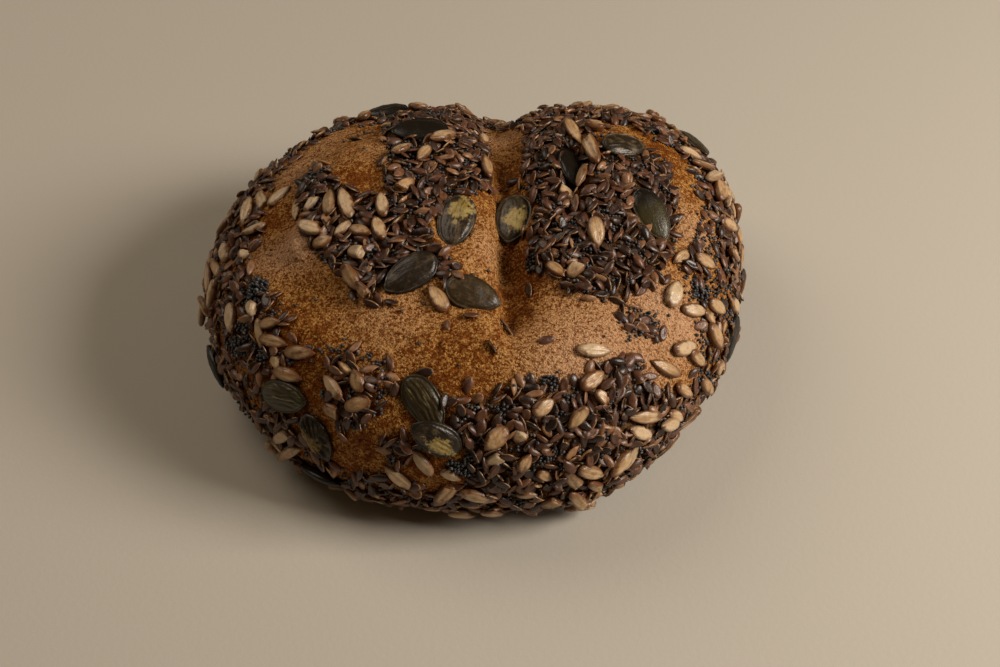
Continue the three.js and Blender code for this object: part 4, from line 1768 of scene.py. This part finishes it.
@dataclass
class PumpkinSeed:
    """One pumpkin seed in place of its CAD solid: a flat oval with a raised rim, a groove inside the rim, and
    ribs."""

    node: str
    look: PumpkinLook
    around: int = 40
    rings: int = 20
    taper: float = -0.26
    stations: int = 41  # places along the seed where its width is measured
    rim_height: float = 0.16 * MM
    rib_pitch: float = 1.15 * MM
    rib_depth: float = 0.16 * MM
    lump_depth: float = 0.22 * MM
    warp: float = 0.35 * MM
    bare_patch: tuple = (0.62, 0.75)  # where skin is off, as shares of the half length and the half width
    heart: Vector = field(default_factory=lambda: Vector((0, 0, 15 * MM)))  # a place inside the loaf
    piece: bpy.types.Object = field(init=False)
    place: Matrix = field(init=False)
    size: Vector = field(init=False)

    def measure(self) -> None:
        """Finds the CAD seed's place, turn and size: X to its pointed end, Z out of the loaf."""
        places = coordinates(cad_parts[self.node].data)
        middle = places.mean(0)
        places -= middle
        _, vectors = np.linalg.eigh(np.cov(places.T))
        along, across, out = vectors[:, 2], vectors[:, 1], vectors[:, 0]
        if out @ (middle - np.array(self.heart)) < 0:
            out = -out
        own = places @ np.column_stack([along, across, out])
        ahead = own[:, 0] > (own[:, 0].max() + own[:, 0].min()) / 2
        if np.ptp(own[ahead, 1]) > np.ptp(own[~ahead, 1]):
            along = -along
        turn = np.column_stack([along, np.cross(out, along), out])
        own = places @ turn
        low, high = own.min(0), own.max(0)
        self.size = Vector(high - low)
        self.place = Matrix(turn.tolist()).to_4x4()
        self.place.translation = Vector(middle + turn @ ((low + high) / 2))

    def build(self) -> bpy.types.Object:
        """Models the seed where its CAD solid is.

        Returns:
            The piece.
        """
        self.measure()
        name = self.node.replace("pumpkin_seed", "pepita")
        self.piece = flat_sphere(name, self.around, self.rings, self.size)
        apply_modifier(self.piece, "SIMPLE_DEFORM", deform_method="TAPER", deform_axis="X", factor=self.taper)
        ahead = coordinates(self.piece.data)[:, 0] / (self.size.x / 2)
        resize_vertices(self.piece, ahead > 0.8, (1, 0.92, 1))
        shift_vertices(self.piece, ahead > 0.97, (0.3 * MM, 0, 0))
        apply_modifier(self.piece, "SUBSURF", levels=1, render_levels=1)
        self._sculpt()
        self.piece.data.transform(self.place)
        bpy.ops.object.shade_smooth()
        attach(self.piece, "root")
        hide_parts(self.node)
        return self.piece

    def _sculpt(self) -> None:
        """Fits the oval to its size, raises the rim, presses the groove and the ribs, and stores what the
        finish reads."""
        mesh, look, number = self.piece.data, self.look, float(self.node[-2:])
        places = coordinates(mesh)
        places -= (places.max(0) + places.min(0)) / 2
        places *= np.array(self.size) / (places.max(0) - places.min(0))
        half = np.array(self.size) / 2
        ahead = places[:, 0] / half[0]
        stations = np.linspace(-half[0], half[0], self.stations)
        widths = [np.abs(places[np.abs(places[:, 0] - x) < half[0] / 18, 1]).max() for x in stations]
        width = np.interp(places[:, 0], stations, widths)
        sideways = np.abs(places[:, 1]) / np.maximum(width, 0.5 * MM)
        reach = np.clip(np.sqrt(sideways**2 + np.abs(ahead) ** 6), 0, 1)
        top = np.sign(places[:, 2])
        flat = smoothstep(np.abs(places[:, 2]), 0.05 * half[2], 0.5 * half[2])
        places[:, 2] += top * self.rim_height * (bell(reach - 0.93, 0.05) - 1.4 * bell(reach - 0.8, 0.07))
        shift = Vector((0, 0, 3 + 7 * number))
        sway = rough(places, 4 * MM, shift)
        waves = np.cos(2 * math.pi * (places[:, 1] / self.rib_pitch + sway * 0.9))
        lumps = rough(places, 3.2 * MM, -shift)
        inner = 1 - smoothstep(reach, 0.68, 0.84)
        places[:, 2] += top * flat * inner * (waves * self.rib_depth * look.ribs + lumps * self.lump_depth)
        places[:, 2] += noise.noise(shift) * self.warp * ahead**2
        move_vertices(mesh, places)
        spot = places[:, :2] / half[:2] - np.array(look.peeled_at)
        write_attribute(mesh, "rim", reach)
        write_attribute(mesh, "local", places + 0.05 * np.array((number, 1, 2)))
        away = np.hypot(spot[:, 0] / self.bare_patch[0], spot[:, 1] / self.bare_patch[1])
        write_attribute(mesh, "peeled", look.peeled * bell(away, 1.0))
        # Painted shade: the blunt end is darkened by shaded_blunt_end.
        write_attribute(mesh, "darkness", look.darkness + look.shaded_blunt_end * smoothstep(-ahead, -0.1, 0.9))
        for name in ("bloom", "green", "scratched"):
            write_attribute(mesh, name, getattr(look, name))

    def dress(self, skin: bpy.types.Material) -> None:
        """Gives the seed its finish."""
        self.piece.data.materials.append(skin)


# ---- Studio ----


@dataclass
class Studio:
    """A plain pale floor and plain soft light, with the main light from the right."""

    floor_size: float = 3.0
    aim: Vector = field(default_factory=lambda: Vector((0, 0, 30 * MM)))
    key_place: Vector = field(default_factory=lambda: Vector((0.68, -0.15, 0.50)))
    key_size: float = 0.34
    key_power: float = 8.5
    key_colour: tuple = (1.0, 0.92, 0.81)
    fill_place: Vector = field(default_factory=lambda: Vector((-0.48, 0.30, 0.74)))
    fill_size: float = 0.6
    fill_power: float = 2.75
    fill_colour: tuple = (1.0, 0.88, 0.72)
    sky: Colour = srgb(208, 178, 140)
    sky_strength: float = 0.1

    def build(self) -> None:
        """Builds the floor, the lights and the sky."""
        bpy.ops.object.select_all(action="DESELECT")
        bpy.ops.mesh.primitive_plane_add(size=self.floor_size)
        floor = bpy.context.active_object
        floor.name = "floor"
        floor.data.materials.append(FloorFinish().make())
        self._light("key", self.key_place, self.key_size, self.key_power, self.key_colour)
        self._light("fill", self.fill_place, self.fill_size, self.fill_power, self.fill_colour)
        world = bpy.data.worlds.new("sky")
        world.use_nodes = True
        background = world.node_tree.nodes["Background"]
        background.inputs["Color"].default_value = self.sky
        background.inputs["Strength"].default_value = self.sky_strength
        bpy.context.scene.world = world
        bpy.context.scene.view_settings.view_transform = "Standard"

    def _light(self, name: str, place: Vector, size: float, power: float, colour: tuple) -> None:
        """Builds a square soft light that shines at the loaf's middle.

        Args:
            name: Its name.
            place: Where it is.
            size: The length of its side.
            power: Its power in watts.
            colour: Its colour.
        """
        data = bpy.data.lights.new(name, "AREA")
        data.color = colour
        data.size = size
        data.energy = power
        light = link(name, data)
        light.location = place
        light.rotation_euler = (self.aim - place).to_track_quat("-Z", "Y").to_euler()


def main() -> None:
    """Builds the loaf and the studio, and reports each piece."""
    logging.basicConfig(level=logging.INFO, format="%(message)s")
    chance = np.random.default_rng(RANDOM_SEED)
    PHOTO.build_camera()
    Studio().build()
    bread = Bread()
    pieces = [bread.build()]
    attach(bread.piece, "root")
    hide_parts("bread")
    coat = Coat(bread)
    skin = PumpkinSeedFinish().make()
    for node in sorted(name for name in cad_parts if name.startswith("pumpkin_seed")):
        seed = PumpkinSeed(node, PUMPKIN_LOOKS.get(int(node[-2:]), PumpkinLook()))
        pieces.append(seed.build())
        seed.dress(skin)
        coat.cover(seed.place, seed.size, takes=seed.look.clear)
    flax, kernels, poppy = FlaxSeeds(), SunflowerKernels(), PoppySeeds()
    for kind in (flax, kernels, poppy):
        kind.model()
    flax.lay_lone(coat, chance)
    flax.scatter(coat, chance, flax.falls[0])
    kernels.lay_shown(coat, chance)
    kernels.scatter_hidden(coat, chance)
    flax.scatter(coat, chance, flax.falls[1])
    poppy.scatter(coat, chance)
    for kind, slot in ((flax, "flax_seed"), (kernels, "sunflower_kernel"), (poppy, "poppy_seed")):
        piece = kind.build(chance)
        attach(piece, "root")
        pieces.append(piece)
        log.info("%s: %d seeds", piece.name, len(kind.seeds))
    bread.dress(coat)
    for piece in pieces:
        triangles = sum(len(face.vertices) - 2 for face in piece.data.polygons)
        log.info("%s: %d triangles", piece.name, triangles)


if __name__ == "__main__":
    main()
